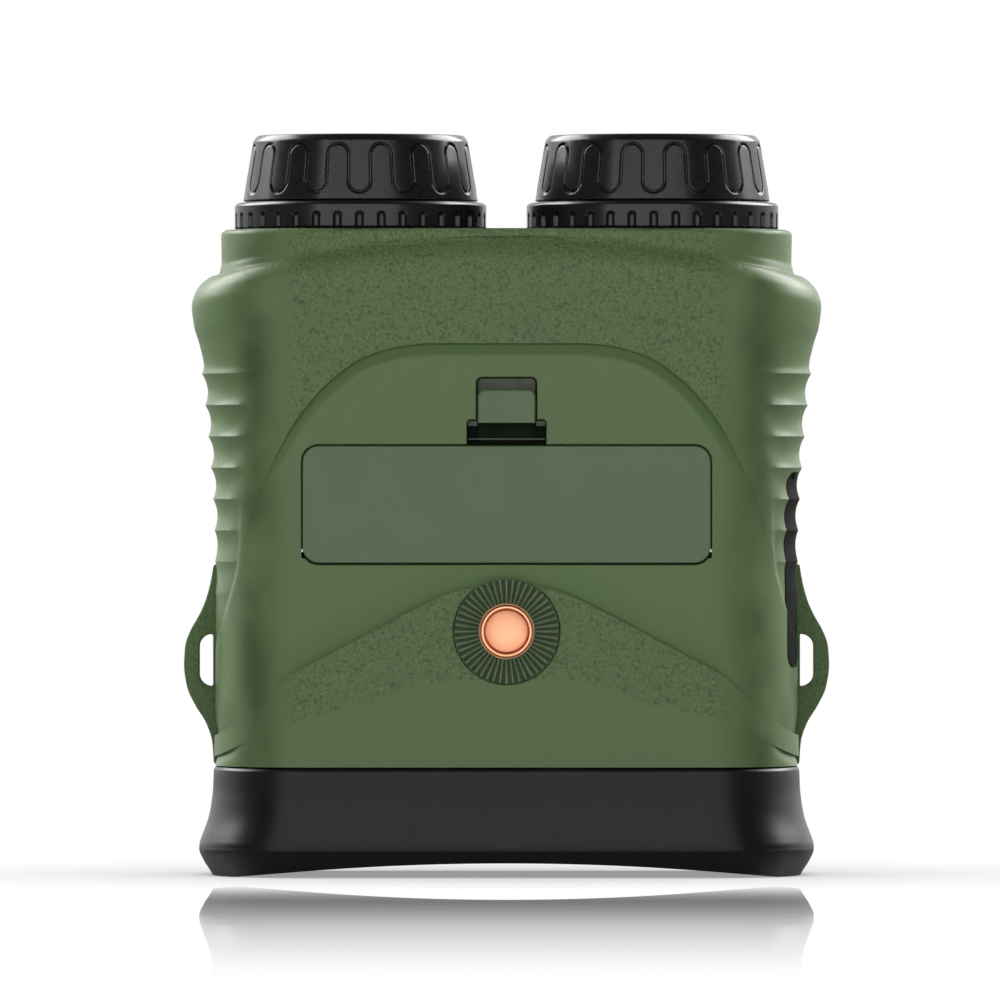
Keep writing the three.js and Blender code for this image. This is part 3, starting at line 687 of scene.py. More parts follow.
LOOKS = {
    "smooth": green_smooth(), "grain": green_grain(), "lug": green_lug(), "door": green_door(),
    "ribs": green_ribs(), "hood": rubber("hood_rubber"), "cover": rubber("cover_rubber", 0.012, 0.7, 0.02),
    "seal": rubber("seal_rubber", 0.008, 0.6), "button": rubber("button_rubber", 0.012, 0.45),
    "plastic": plastic("black_plastic", (0.012, 0.012, 0.0125), 0.5),
    # painted shade: the green darkened almost to black, with little shine, for parts deep in the latch's
    # recess
    "well": plastic("well_painted_shade", (0.005, 0.008, 0.0038), 0.7, 0.004, 0.05),
    "strip": plastic("strip_grey", (0.075, 0.083, 0.067), 0.6, 0.5, 0.2),
    "mark": plastic("mark_grey", (0.32, 0.34, 0.31), 0.55),
    "ring": anodised("ring_black", (0.008, 0.008, 0.0082), 0.24),
    "barrel": anodised("barrel_black", (0.006, 0.006, 0.0062), 0.4),
    "copper": turned_metal("copper", (0.76, 0.36, 0.21), 0.3),
    "steel": turned_metal("steel", (0.5, 0.5, 0.51), 0.3),
    "nickel": turned_metal("nickel", (0.62, 0.6, 0.55), 0.25),
    "lens": lens_glass("lens_glass", (0.86, 0.93, 0.95), (0.62, 0.75, 1.0)),
    "window": lens_glass("window_glass", (0.9, 0.55, 0.55), (1.0, 0.6, 0.62)),
    "screen": screen(), "circuit": circuit(), "cell": cell_wrap(),
}


def dress(obj, *looks):
    obj.data.materials.clear()
    for look in looks:
        obj.data.materials.append(LOOKS[look])
    return obj


VALLEY_X, VALLEY_HALF = 54.0, 4.0      # painted shade along the fold between the flat faces and the grips


def measured(items, kind):
    """One of Blender's point properties as rows in millimetres."""
    values = np.empty(len(items) * 3)
    items.foreach_get(kind, values)
    return values.reshape(-1, 3) / MM


def paint(mesh, kind, values):
    """Stores a value for each point, for a material to read."""
    layer = mesh.attributes.new(kind, "FLOAT", "POINT")
    layer.data.foreach_set("value", values.astype(np.float32))


def grained(obj):
    """Dresses a shell: a second material on the grained panels, and how strongly they are grained."""
    mesh = dress(obj, "smooth", "grain").data
    x, _, z = measured(mesh.polygons, "center").T
    on_panel = inside(x, z, UPPER_PANEL) | inside(x, z, BAND)
    mesh.polygons.foreach_set("material_index", on_panel.astype(np.int32))
    sideways = np.abs(measured(mesh.vertices, "co")[:, 0])
    paint(mesh, "grain", 1 - 0.97 * smoothstep(sideways, 44, 55))
    # painted shade along the fold beside the grips, which the green materials darken by
    paint(mesh, "valley", np.exp(-((sideways - VALLEY_X) / VALLEY_HALF) ** 2))
    return obj


BODY_OF = {node: body for body, nodes in frame["record"]["behaviour"]["bodies"].items() for node in nodes}


def stand_for(obj, node, *looks):
    """Dresses a detailed piece and puts it in the place of a CAD node."""
    if looks:
        dress(obj, *looks)
    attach(obj, BODY_OF[node])
    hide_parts(node)
    return obj


# ------------------------------------------------------------------ shells
DOOR_HALF = (door_high[0] - door_low[0]) / 2
DOOR_R = 3.4
LATCH_TOP = 106.4
WELL_HALF, WELL_TOP = 8.45, 97.4
SCREWS = [tuple(sum(span(f"housing_screw_{i}"))[[0, 2]] / 2) for i in (1, 2, 3, 4)]
MARKS = {"power_button": "ring", "measure_button": "dot", "menu_button": "rows", "mode_button": "bar",
         "zoom_in_button": "cross", "zoom_out_button": "bar"}
BUTTONS = {name: span(name) for name in MARKS}
BUTTON_FLANGE = 0.8
FACE = -HALF_DEPTH
HINGE_Y, HINGE_Z, HINGE_BORE = -30.0, 69.6, 0.65
LUG_TOP = 66.5


def lipped(name, outline, lip=0.28, far=-26.0):
    """A cutter through the underside whose mouth is chamfered. outline(grow) gives its section."""
    wide, plain = outline(lip), outline(0)
    return stack(name, [(FACE - 2, wide), (FACE - 0.02, wide), (FACE + lip, plain), (far, plain)])


def lug_room(hand):
    x0, x1 = sorted((hand * 55, hand * 75))
    top = LUG_TOP + 0.4
    return prism("lug_room", [(x0, 20), (x1, 20), (x1, top), (x0, top)], -2.8, 2.8)


def cover_block(name, grow, keep_out):
    """The port cover's block on the left side wall, less the plain housing inside it."""
    low, high = cover_low[1:] - grow, cover_high[1:] + grow
    outline = rounded(low[0], high[0], low[1], high[1], 3.0 + grow)
    block = prism(name, outline, 50.0, 75.0, axis="x")
    return cut(block, loft("plain", PLAIN, keep_out))


def hinge_bore(half):
    """A rod a little larger than the hinge pin, to be cut away."""
    y, z, r = HINGE_Y, HINGE_Z, HINGE_BORE
    outline = rounded(y - r, y + r, z - r, z + r, 0.999 * r)
    return prism("hinge_bore", outline, -half, half, axis="x")


def door_outline(grow):
    return rounded(-DOOR_HALF, DOOR_HALF, door_low[2], door_high[2], DOOR_R, grow)


def door_hole(grow):
    return rounded(-DOOR_HALF, DOOR_HALF, door_low[2] - 0.1, door_high[2], DOOR_R, GAP + grow)


def latch_hole(grow):
    return rounded(latch_low[0], latch_high[0], 95, LATCH_TOP - 0.35, 0.9, 0.35 + grow)


def latch_well(grow):
    return rounded(-WELL_HALF + 0.3, WELL_HALF - 0.3, 91, WELL_TOP - 0.3, 0.5, 0.3 + grow)


def bottom_shell():
    shell = housing_half("underside_shell", -1)
    cut(shell,
        lug_room(LEFT), lug_room(RIGHT),
        lipped("door_hole", door_hole), lipped("latch_hole", latch_hole), lipped("latch_well", latch_well),
        rod("pad_seat", 11.45, FACE - 2, FACE + 0.9, (0, TRIPOD_Z), sides=160),
        rod("insert_hole", 5.9, FACE - 2, FACE + 6, (0, TRIPOD_Z), sides=160),
        cover_block("cover_seat", GAP + 0.2, 2.2),
        hinge_bore(44.9))
    for hand in (LEFT, RIGHT):
        # room for the ends of the door, which swing past the hole's round corners
        x0, x1 = sorted((hand * 42.7, hand * 43.58))
        cut(shell, prism("corner_relief", rounded(x0, x1, 67.9, 70.2, 0.2), FACE - 2, -26.0))
    for node in ("usb_port", "card_slot"):
        low, high = span(node)
        hole = rounded(low[1], high[1], low[2], high[2], 0.6 - GAP, GAP)
        cut(shell, prism("port_hole", hole, 52.0, 75.0, axis="x"))
    shade(shell)
    return stand_for(grained(shell), "bottom_shell")


def button_outline(name, grow):
    low, high = BUTTONS[name]
    half = (high - low) / 2 - BUTTON_FLANGE
    middle = (high + low) / 2
    radius = min(half[0], half[2]) - 0.1
    low, high = middle - half, middle + half
    return rounded(low[0], high[0], low[2], high[2], radius, grow)


def top_shell():
    shell = housing_half("top_side_shell", 1)
    cut(shell, lug_room(LEFT), lug_room(RIGHT))
    for name in BUTTONS:
        levels = [(26.0, 0), (HALF_DEPTH - 0.35, 0), (HALF_DEPTH + 0.02, 0.35), (34.0, 0.35)]
        cut(shell, stack("button_hole", [(y, button_outline(name, GAP + g)) for y, g in levels]))
    for place in SCREWS:
        cut(shell, rod("screw_hole", 2.8, 20, 34, place))
    shade(shell)
    return stand_for(grained(shell), "top_shell")


bottom_shell()
top_shell()


# ------------------------------------------------------------------ strap lugs
LUG_EDGE = [(62.75, SEAM_Z + GAP), (63.1, 28.5), (64.4, 32.5), (66.7, 36.3), (68.5, 40.3), (69.15, 45.0),
            (68.9, 49.0), (67.7, 52.5), (66.0, 55.5), (64.6, 58.6), (63.5, 62.5), (62.8, LUG_TOP)]
LUG_ROOT_X = 58.0
SLOT_X, SLOT_WIDE, SLOT_LOW, SLOT_HIGH, SLOT_END = 62.9, 2.9, 43.0, 49.0, 2.6


def slot_end(middle, start, stop):
    """One rounded end of the strap slot."""
    turns = np.linspace(start, stop, 8)
    return [(SLOT_X + SLOT_WIDE * math.sin(t), middle - SLOT_END * math.cos(t)) for t in turns]


def lug(node, hand):
    """The S-curved ear with its slot, rounded all round."""
    outline = [(LUG_ROOT_X, SEAM_Z + GAP)] + curve_points(LUG_EDGE, 44) + [(LUG_ROOT_X, LUG_TOP)]
    slot = [(SLOT_X, SLOT_LOW - SLOT_END)]
    slot += slot_end(SLOT_LOW, 0.2, math.pi / 2)
    slot += slot_end(SLOT_HIGH, math.pi / 2, math.pi - 0.2)
    slot += [(SLOT_X, SLOT_HIGH + SLOT_END)]
    plate = prism("lug", [(hand * x, z) for x, z in outline], -2.5, 2.5)
    cut(plate, prism("slot", [(hand * x, z) for x, z in slot], -4, 4))
    plate.name = f"{node}_look"
    soften(plate, 0.7, 3, 40)
    return stand_for(plate, node, "lug")


lug("left_strap_lug", LEFT)
lug("right_strap_lug", RIGHT)


# ------------------------------------------------------------------ battery door, latch and its well
def battery_door():
    low, high = FACE, FACE + 2.6
    blank = stack("battery_door_look", [
        (low, door_outline(-0.22)), (low + 0.2, door_outline(0)),
        (high - 0.6, door_outline(0)), (high, door_outline(-0.6))])
    keep(blank, half_housing("plain_face", -1, False))
    cut(blank, hinge_bore(60))
    shade(blank)
    return stand_for(blank, "battery_door", "door")


TAB_LOW = 96.7
BOLT_TOP = 98.3


def tab_outline(grow):
    """The thumb tab: round at the top, square at the bottom."""
    whole = rounded(latch_low[0], latch_high[0], TAB_LOW - 1.7, latch_high[2], 1.7, grow)
    return [(x, max(z, TAB_LOW)) for x, z in whole]


def latch():
    tab = stack("door_latch_look", [
        (FACE - 0.35, tab_outline(-0.3)), (FACE - 0.1, tab_outline(0)), (FACE + 1.1, tab_outline(0))])
    join(tab,
         prism("neck", rounded(-6.0, 6.0, 97.0, BOLT_TOP, 0.2), FACE + 1.0, FACE + 2.8),
         prism("bolt", rounded(-6.0, 6.0, latch_low[2], BOLT_TOP, 0.2), FACE + 2.0, FACE + 2.8))
    shade(tab)
    # painted shade: the neck and bolt, deep in the recess, take the darkened green
    dress(tab, "door", "well")
    for face in tab.data.polygons:
        if face.center.z / MM < TAB_LOW + 0.05 or face.center.y / MM > FACE + 1.0:
            face.material_index = 1
    return stand_for(tab, "door_latch")


def latch_guide():
    """Floor of the latch's well, the grained strip that the tab slides over, and two shoulders."""
    low, high = span("latch_guide")
    back = high[1] - 1.0
    guide = prism("latch_guide_look", rounded(low[0], high[0], low[2], high[2], 1), high[1] - 1.5, high[1])
    join(guide, prism("strip", rounded(-6.1, 6.1, 100.8, 106.1, 0.8), FACE + 1.4, back))
    for hand in (LEFT, RIGHT):
        x0, x1 = sorted((hand * 6.25, hand * 8.2))
        join(guide, prism("shoulder", rounded(x0, x1, 96.0, 97.1, 0.2), FACE + 1.2, back))
    join(guide, prism("lip", rounded(-8.1, 8.1, 93.1, 93.4, 0.1), FACE + 1.6, back))
    shade(guide)
    # painted shade: the guide's floor and shoulders behind the strip take the darkened green
    dress(guide, "well", "strip")
    for face in guide.data.polygons:
        face.material_index = int(face.center.y / MM < FACE + 1.9)
    return stand_for(guide, "latch_guide")


battery_door()
latch()
latch_guide()


# ------------------------------------------------------------------ tripod pad and insert
RIBS = 48
RIB_DEPTH = 0.55
PAD_FACE, PAD_BACK = -32.0, -30.4


def tripod_pad():
    """A disc with a knurl of radial ribs between two thin rims."""
    inner, outer = 5.9, (pad_high[0] - pad_low[0]) / 2
    radii = np.concatenate([[inner, inner, inner + 0.12], np.linspace(inner + 0.3, outer - 0.45, 12),
                            [outer - 0.3, outer - 0.12, outer, outer]])
    sides = RIBS * 14
    angle = np.linspace(0, 2 * math.pi, sides, endpoint=False)[:, None]
    wave = np.abs((angle * RIBS / (2 * math.pi)) % 1 - 0.5) * 2
    ribbed = smoothstep(radii, inner + 0.05, inner + 0.2) * (1 - smoothstep(radii, outer - 0.3, outer - 0.1))
    groove = ribbed * smoothstep(1 - wave, 0.15, 0.85)
    rim = 0.25 * (smoothstep(-radii, -inner - 0.12, -inner) + smoothstep(radii, outer - 0.12, outer))
    y = PAD_FACE + RIB_DEPTH * groove + rim
    y[:, [0, -1]] = PAD_BACK
    rings = np.stack([radii * np.cos(angle), y, TRIPOD_Z + radii * np.sin(angle)], axis=-1)
    count = len(radii)
    faces = []
    for s in range(sides):
        a, b = s * count, ((s + 1) % sides) * count
        for i in range(count):
            j = (i + 1) % count
            faces.append((a + i, a + j, b + j, b + i))
    pad = new_object("tripod_pad_look", rings.reshape(-1, 3), faces, 50)
    # groove depth, which the ribs material turns into painted shade
    paint(pad.data, "groove", groove.ravel())
    return stand_for(pad, "tripod_pad", "ribs")


def tripod_insert():
    """A flanged socket whose bore has thread ridges."""
    bore, crest, pitch, threads = 4.76, 4.45, 1.35, 7
    profile = [(0, -19.5), (6.5, -19.5), (6.5, -25.6), (8.5, -25.6), (8.5, -27.7), (5.6, -27.7), (5.6, -31.7),
               (5.3, PAD_FACE), (4.95, PAD_FACE), (bore, -31.8)]
    for i in range(threads):
        top = -31.5 + pitch * i
        profile += [(bore, top), (crest, top + 0.45), (crest, top + 0.6), (bore, top + 1.05)]
    profile += [(bore, -21.9), (crest, -21.5), (0, -21.5)]
    insert = lathe("tripod_insert_look", profile, (0, TRIPOD_Z), "y", 128, sharp=25)
    return stand_for(insert, "tripod_insert", "copper")


tripod_pad()
tripod_insert()


# ------------------------------------------------------------------ port cover
def port_cover():
    cover = cover_block("port_cover_look", 0, 1.9)
    keep(cover, half_housing("outside", -1, False))
    notch = rounded(-13.6, -10.8, 84.6, 87.5, 1.2)
    cut(cover, prism("notch", notch, 60.6, 75.0, axis="x"))
    shade(cover)
    return stand_for(cover, "port_cover", "cover")


port_cover()


# ------------------------------------------------------------------ eye hood
HOOD_CREASE_Z = 5.55
HOOD_FEET = 58.0       # beyond this half width the rim lies flat on the ground
HOOD_TOP_Z = 23.2
HOOD_EDGE, HOOD_CREST = 29.8, 31.8       # half depth at the rim and at the crease
HOOD_RISE = 3.1                          # how far the middle of the rim arches up
HOOD_BEAD = 0.1
# (height, half width, half depth)
HOOD = [(0.0, 63.0, HOOD_EDGE), (1.0, 63.6, 30.2), (3.2, 65.0, 31.2), (HOOD_CREASE_Z, 65.9, HOOD_CREST),
        (6.6, 65.85, HOOD_CREST), (8.3, 65.35, 31.65), (10.0, 64.7, 31.5), (11.7, 64.1, 31.35),
        (13.4, 63.65, 31.2), (15.1, 63.35, 31.1), (18.4, 62.95, 31.0), (22.6, 62.75, 31.0),
        (HOOD_TOP_Z, 62.4, 30.7)]
HOLLOW = [(-1, 59.6, 26.6, HOOD_RISE), (HOOD_CREASE_Z, 62.8, 28.7, 0), (13, 60.8, 28.2, 0),
          (20.6, 59.8, 27.9, 0)]


def eye_hood():
    """The flared hood: its rim is arched, so the underside is closed by strips from front to back."""
    keys = np.array(HOOD).T
    z = np.concatenate([np.linspace(0, 5.2, 13), np.linspace(5.3, 6.4, 12), np.linspace(6.6, HOOD_TOP_Z, 54)])
    w, d = (through(np.column_stack([keys[0], keys[i]]), z) for i in (1, 2))
    d = np.where(z < HOOD_CREASE_Z, np.interp(z, (0, HOOD_CREASE_Z), (HOOD_EDGE, HOOD_CREST)), d)
    d = d + HOOD_BEAD * np.exp(-((z - HOOD_CREASE_Z - 0.2) / 0.22) ** 2)
    loops = []
    for at, half_w, half_d in zip(z, w, d):
        x, y = section(half_w, half_d, 48, 40)
        rise = HOOD_RISE * (1 - min(1, at / HOOD_CREASE_Z))
        loops.append(np.column_stack([x, y, at + rise * np.clip(1 - (x / HOOD_FEET) ** 2, 0, None)]))
    points, faces = skin(loops)
    count = len(loops[0])
    under = next(i for i, face in enumerate(faces) if len(face) == count)
    across = [(k + 1, k, (count - k) % count, count - k - 1) for k in range(1, count // 2 - 1)]
    ends = [(1, 0, count - 1), (count // 2, count // 2 - 1, count // 2 + 1)]
    faces[under:under + 1] = across + ends
    hood = new_object("eye_hood_look", points, faces)
    cut(hood, loft("hollow", HOLLOW, turns=32))
    cut(hood, prism("view", rounded(-50, 50, -21, 21, 14, steps=16), 19.0, 25.0, axis="z"))
    shade(hood, 14)
    return stand_for(hood, "eye_hood", "hood")


eye_hood()


# ------------------------------------------------------------------ objective rings
FOCUS_PERIODS = 16
FOCUS_FOOT, FOCUS_TOP = (25.2, 144.3), (23.05, 157.05)
RING_BORE = 19.35
MEANDER_LOW, MEANDER_HIGH, MEANDER_DEPTH = 145.9, 156.3, 0.5
NOTCHES = 36
LOCK_R, LOCK_FOOT_Z, LOCK_TOP_Z = 27.0, 138.4, 144.0
NOTCH_TOP_Z, NOTCH_HALF, NOTCH_DEPTH = 141.7, 0.95, 0.9


def phase_of(angle, count):
    """Place within one of the equal parts of a ring, from -0.5 to 0.5. A middle faces the front."""
    return ((angle + math.pi / 2) * count / (2 * math.pi) + 0.5) % 1 - 0.5


def meander(angle, height):
    """Distance from the middle of the winding groove, on the ring's surface."""
    radius = np.interp(height, (FOCUS_FOOT[1], FOCUS_TOP[1]), (FOCUS_FOOT[0], FOCUS_TOP[0]))
    period = 2 * math.pi * radius / FOCUS_PERIODS
    sideways = np.abs(phase_of(angle, FOCUS_PERIODS) * period)
    bend = period / 4
    high, low = MEANDER_HIGH - bend, MEANDER_LOW + bend
    straight = np.abs(sideways - bend)
    arch = np.abs(np.hypot(period / 2 - sideways, height - high) - bend)
    valley = np.abs(np.hypot(sideways, height - low) - bend)
    return np.where(height > high, arch, np.where(height < low, valley, straight))


def focus_ring(node, hand):
    rows = 80
    slope = np.linspace(FOCUS_FOOT, FOCUS_TOP, rows)[1:].tolist()
    profile = [(RING_BORE, 144.3), (24.9, 144.3), (25.1, 144.4)] + slope
    profile += [(22.95, 157.3), (22.3, 158.15), (22.05, 158.35), (20.1, 158.35), (19.6, 158.2),
                (RING_BORE, 157.8), (RING_BORE, 151.0)]

    def relief(angle, height, index):
        on_side = (index >= 3) & (index < 3 + rows - 1)
        away = meander(angle, height)
        return np.where(on_side, MEANDER_DEPTH * (1 - smoothstep(away, 0.12, 0.34)), 0.0)

    ring = lathe(f"{node}_look", profile, (hand * BARREL_X, 0), sides=FOCUS_PERIODS * 64, relief=relief,
                 sharp=60)
    return stand_for(ring, node, "ring")


def lock_ring(node, hand):
    side_rows = [138.55] + list(np.linspace(138.8, 143.1, 22)) + [143.25]
    profile = [(RING_BORE, LOCK_FOOT_Z), (LOCK_R - 0.2, LOCK_FOOT_Z)] + [(LOCK_R, z) for z in side_rows]
    profile += [(26.85, 143.5), (26.4, 143.9), (26.1, LOCK_TOP_Z), (RING_BORE, LOCK_TOP_Z)]

    def relief(angle, height, index):
        across = phase_of(angle, NOTCHES) * 2 * math.pi * LOCK_R / NOTCHES
        over = np.clip(height - (NOTCH_TOP_Z - NOTCH_HALF), 0, None)
        away = np.hypot(across, over) / NOTCH_HALF
        deep = NOTCH_DEPTH * np.sqrt(np.clip(1 - away ** 2, 0, None))
        return np.where((index >= 1) & (index <= len(side_rows) + 1), deep, 0.0)

    ring = lathe(f"{node}_look", profile, (hand * BARREL_X, 0), sides=NOTCHES * 24, relief=relief, sharp=60)
    return stand_for(ring, node, "ring")


def barrel(node, hand):
    profile = [(15, 98.5), (19, 98.5), (19, 130), (21.8, 130), (21.8, 134.6), (19, 134.6), (19, 157.6),
               (17, 157.6), (17, 100.7), (15, 100.7)]
    x = hand * BARREL_X
    tube = lathe(f"{node}_look", fillet(profile, 0.25), (x, 0), sides=128)
    cut(tube, prism("slot", rounded(x - 1.2, x + 1.2, 146.8, 152.2, 1.1), 14.0, 21.0))
    shade(tube)
    return stand_for(tube, node, "barrel")


LENS_R = 14.7


def lens_group(side, hand):
    """The cell that travels in the barrel, its front lens, and the stepped retainer."""
    at = (hand * BARREL_X, 0)
    cell = [(13.2, 139), (16.7, 139), (16.7, 154), (15, 154), (15, 146), (13.2, 146)]
    dome = [(LENS_R * math.sin(t), 149.6 + 1.5 * (math.cos(t) - math.cos(math.pi / 2)) ** 0.9)
            for t in np.linspace(0, math.pi / 2, 20)]
    lens = [(0, 146.3), (LENS_R - 0.2, 146.3), (LENS_R, 146.5)] + dome[::-1]
    steps = [(13.0, 151.5), (LENS_R, 151.5), (LENS_R, 153.4), (14.3, 153.4)]
    for i in range(4):
        steps += [(14.1 - 0.2 * i, 153.1 - 0.35 * i), (13.9 - 0.2 * i, 153.1 - 0.35 * i)]
    for part, profile, look in (("lens_cell", fillet(cell, 0.3), "plastic"), ("front_lens", lens, "lens"),
                                ("lens_retainer", steps, "plastic")):
        stand_for(lathe(f"{side}_{part}_look", profile, at, sides=128), f"{side}_{part}", look)


for side_name, side_hand in (("left", LEFT), ("right", RIGHT)):
    focus_ring(f"{side_name}_focus_ring", side_hand)
    lock_ring(f"{side_name}_lock_ring", side_hand)
    barrel(f"{side_name}_barrel", side_hand)
    lens_group(side_name, side_hand)


# ------------------------------------------------------------------ front plate and laser
def front_plate():
    levels = [(134.9, 57.9, 25.3, 0), (137.5, 57.9, 25.3, 0), (137.8, 57.6, 25.0, 0)]
    plate = loft("front_plate_look", levels, turns=32)
    for x in (BARREL_X, -BARREL_X):
        cut(plate, rod("hole", 19.3, 130, 140, (x, 0), "z", 128))
    cut(plate, rod("hole", 6.8, 130, 140, (0, LASER_Y), "z", 96))
    shade(plate)
    return stand_for(plate, "front_plate", "plastic")


def laser():
    at = (0, LASER_Y)
    tube = [(4.6, 104), (6.5, 104), (6.5, 138.4), (5.6, 138.4), (5.6, 135.9), (4.6, 135.9)]
    stand_for(lathe("laser_tube_look", fillet(tube, 0.2), at, sides=96), "laser_tube", "barrel")
    glass = [(0, 136.2), (5.3, 136.2), (5.3, 137.5), (5.1, 137.7), (0, 137.7)]
    stand_for(lathe("laser_window_look", glass, at, sides=96), "laser_window", "window")


front_plate()
laser()


# ------------------------------------------------------------------ buttons
MARK_LOW, MARK_TOP = 31.5, 32.0


def bar(name, x, z, half_x, half_z, radius=0.2):
    return prism(name, rounded(x - half_x, x + half_x, z - half_z, z + half_z, radius), MARK_LOW, MARK_TOP)


def mark(name, kind, x, z):
    """A small raised sign: a ring, a dot, a bar, a cross or three rows."""
    if kind == "ring":
        profile = [(1.5, MARK_LOW), (1.9, MARK_LOW), (1.9, MARK_TOP), (1.5, MARK_TOP)]
        return [lathe(name, profile, (x, z), "y", 48)]
    if kind == "dot":
        return [rod(name, 1.2, MARK_LOW, MARK_TOP, (x, z))]
    if kind == "rows":
        return [bar(name, x, z + lift, 1.4, 0.2, 0.15) for lift in (-1.1, 0, 1.1)]
    shapes = [bar(name, x, z, 1.5, 0.25)]
    if kind == "cross":
        shapes.append(bar(name, x, z, 0.25, 1.5))
    return shapes


def button(name):
    low, high = BUTTONS[name]
    middle = (low + high) / 2
    crown = [(26.3, 0), (30.9, 0)]
    for t in np.linspace(0.15, math.pi / 2, 6):
        crown.append((30.9 + 0.8 * math.sin(t), -0.8 * (1 - math.cos(t))))
    cap = stack(f"{name}_look", [(y, button_outline(name, grow)) for y, grow in crown])
    flange = prism("flange", button_outline(name, BUTTON_FLANGE), 26.1, 27.6)
    join(cap, flange, rod("stem", 1.5, 25.2, 27, (middle[0], middle[2]), sides=32))
    shade(cap)
    stand_for(cap, name, "button")
    for i, sign in enumerate(mark("sign", MARKS[name], middle[0], middle[2])):
        sign.name = f"{name}_mark_{i + 1}"
        dress(sign, "mark")
        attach(sign, BODY_OF[name])


for button_name in BUTTONS:
    button(button_name)


# ------------------------------------------------------------------ screws
def screw(index, place):
    """A cap screw with a six-sided socket."""
    x, z = place
    profile = fillet([(0, 20.3), (2.4, 20.3), (2.4, 22.3), (0, 22.3)], 0.25)
    head = lathe(f"housing_screw_{index}_look", profile, place, "y", 48)
    corners = np.linspace(0, 2 * math.pi, 6, endpoint=False)
    socket = [(x + 1.15 * math.cos(t), z + 1.15 * math.sin(t)) for t in corners]
    cut(head, prism("socket", socket, 21.0, 23.0))
    join(head, rod("shank", 1.4, -12.5, 20.6, place, sides=32))
    shade(head)
    return stand_for(head, f"housing_screw_{index}", "steel")


for number, spot in enumerate(SCREWS, 1):
    screw(number, spot)


# ------------------------------------------------------------------ eyepiece, battery and other inner pieces
def magnifier():
    """One wide lens for both eyes, domed towards them."""
    turns = np.linspace(math.pi / 2, 0, 12)
    dome = [(27.4 - 2.6 * math.sin(t), max(-2.5 - 12 * (1 - math.cos(t)), -13.0)) for t in turns]
    rim = [(27.3, 0), (30.6, 0), (30.9, -0.3)]
    levels = [(z, rounded(-48.2, 48.2, -21.2, 21.2, 13.7, grow, 16)) for z, grow in dome + rim]
    return stand_for(stack("magnifier_lens_look", levels, axis="z"), "magnifier_lens", "lens")


def battery_cell():
    """A round cell lying along X, with a groove and a cap at its positive end."""
    low, high = span("battery_cell")
    y, z = (low[1] + high[1]) / 2, (low[2] + high[2]) / 2
    r = (high[1] - low[1]) / 2
    start, end = low[0], high[0]
    profile = [(0, start), (r - 0.8, start), (r - 0.2, start + 0.2), (r, start + 0.8), (r, end - 4.2),
               (r - 0.35, end - 3.6), (r, end - 3.0), (r, end - 2.0), (r - 0.5, end - 1.3), (3.2, end - 1.3),
               (3.0, end), (0, end)]
    cell = lathe("battery_cell_look", profile, (0, 0), sides=96)
    cell.data.transform(Matrix.Translation(Vector((0, y, z)) * MM) @ Matrix.Rotation(math.pi / 2, 4, "Y"))
    dress(cell, "cell", "nickel")
    for face in cell.data.polygons:
        x = face.center.x / MM
        face.material_index = int(x > end - 1.4 or x < start + 0.1)
    return stand_for(cell, "battery_cell")


magnifier()
battery_cell()

INNER_LOOKS = {
    "circuit": ["button_board", "main_board", "port_board", "sensor_board", "detector_board"],
    "screen": ["image_sensor", "display_panel"],
    "nickel": ["laser_detector", "laser_diode", "contact_spring", "positive_contact"],
    "plastic": ["display_frame", "eyepiece_frame", "battery_tray"],
    "seal": ["door_seal"],
    "steel": ["door_hinge_pin", "usb_port", "card_slot", "left_focus_pin", "right_focus_pin"],
}
for look_name, node_names in INNER_LOOKS.items():
    for node_name in node_names:
        dress(frame["nodes"][node_name], look_name)


# ------------------------------------------------------------------ stage, light and camera
CENTRE = Vector((-1.4, 0, 80.3)) * MM
PICTURE = 214.5 * MM      # width that the picture takes in
FAR = 3.0
SENSOR = 36
WHITE = (1, 1, 1, 1)

# Share of the floor that lets the mirror below it show, by distance in front of the object's middle.
MIRROR = [(-0.66, 0.0), (-0.61, 0.03), (-0.56, 0.09), (-0.50, 0.20), (-0.43, 0.32), (-0.36, 0.45),
          (-0.30, 0.62), (-0.24, 0.76), (-0.19, 0.85), (-0.14, 0.6), (-0.10, 0.15), (0.0, 0.0), (0.40, 0.0)]
GLASS = -1.6 * MM      # the mirror lies under a sheet of glass


def level(name, height, look):
    """A wide level sheet."""
    half = 30.0
    corners = [(x * half, y * half, height) for x, y in ((-1, -1), (1, -1), (1, 1), (-1, 1))]
    mesh = bpy.data.meshes.new(name)
    mesh.from_pydata(corners, [], [(0, 1, 2, 3)])
    obj = bpy.data.objects.new(name, mesh)
    bpy.context.scene.collection.objects.link(obj)
    obj.data.materials.append(look.material)


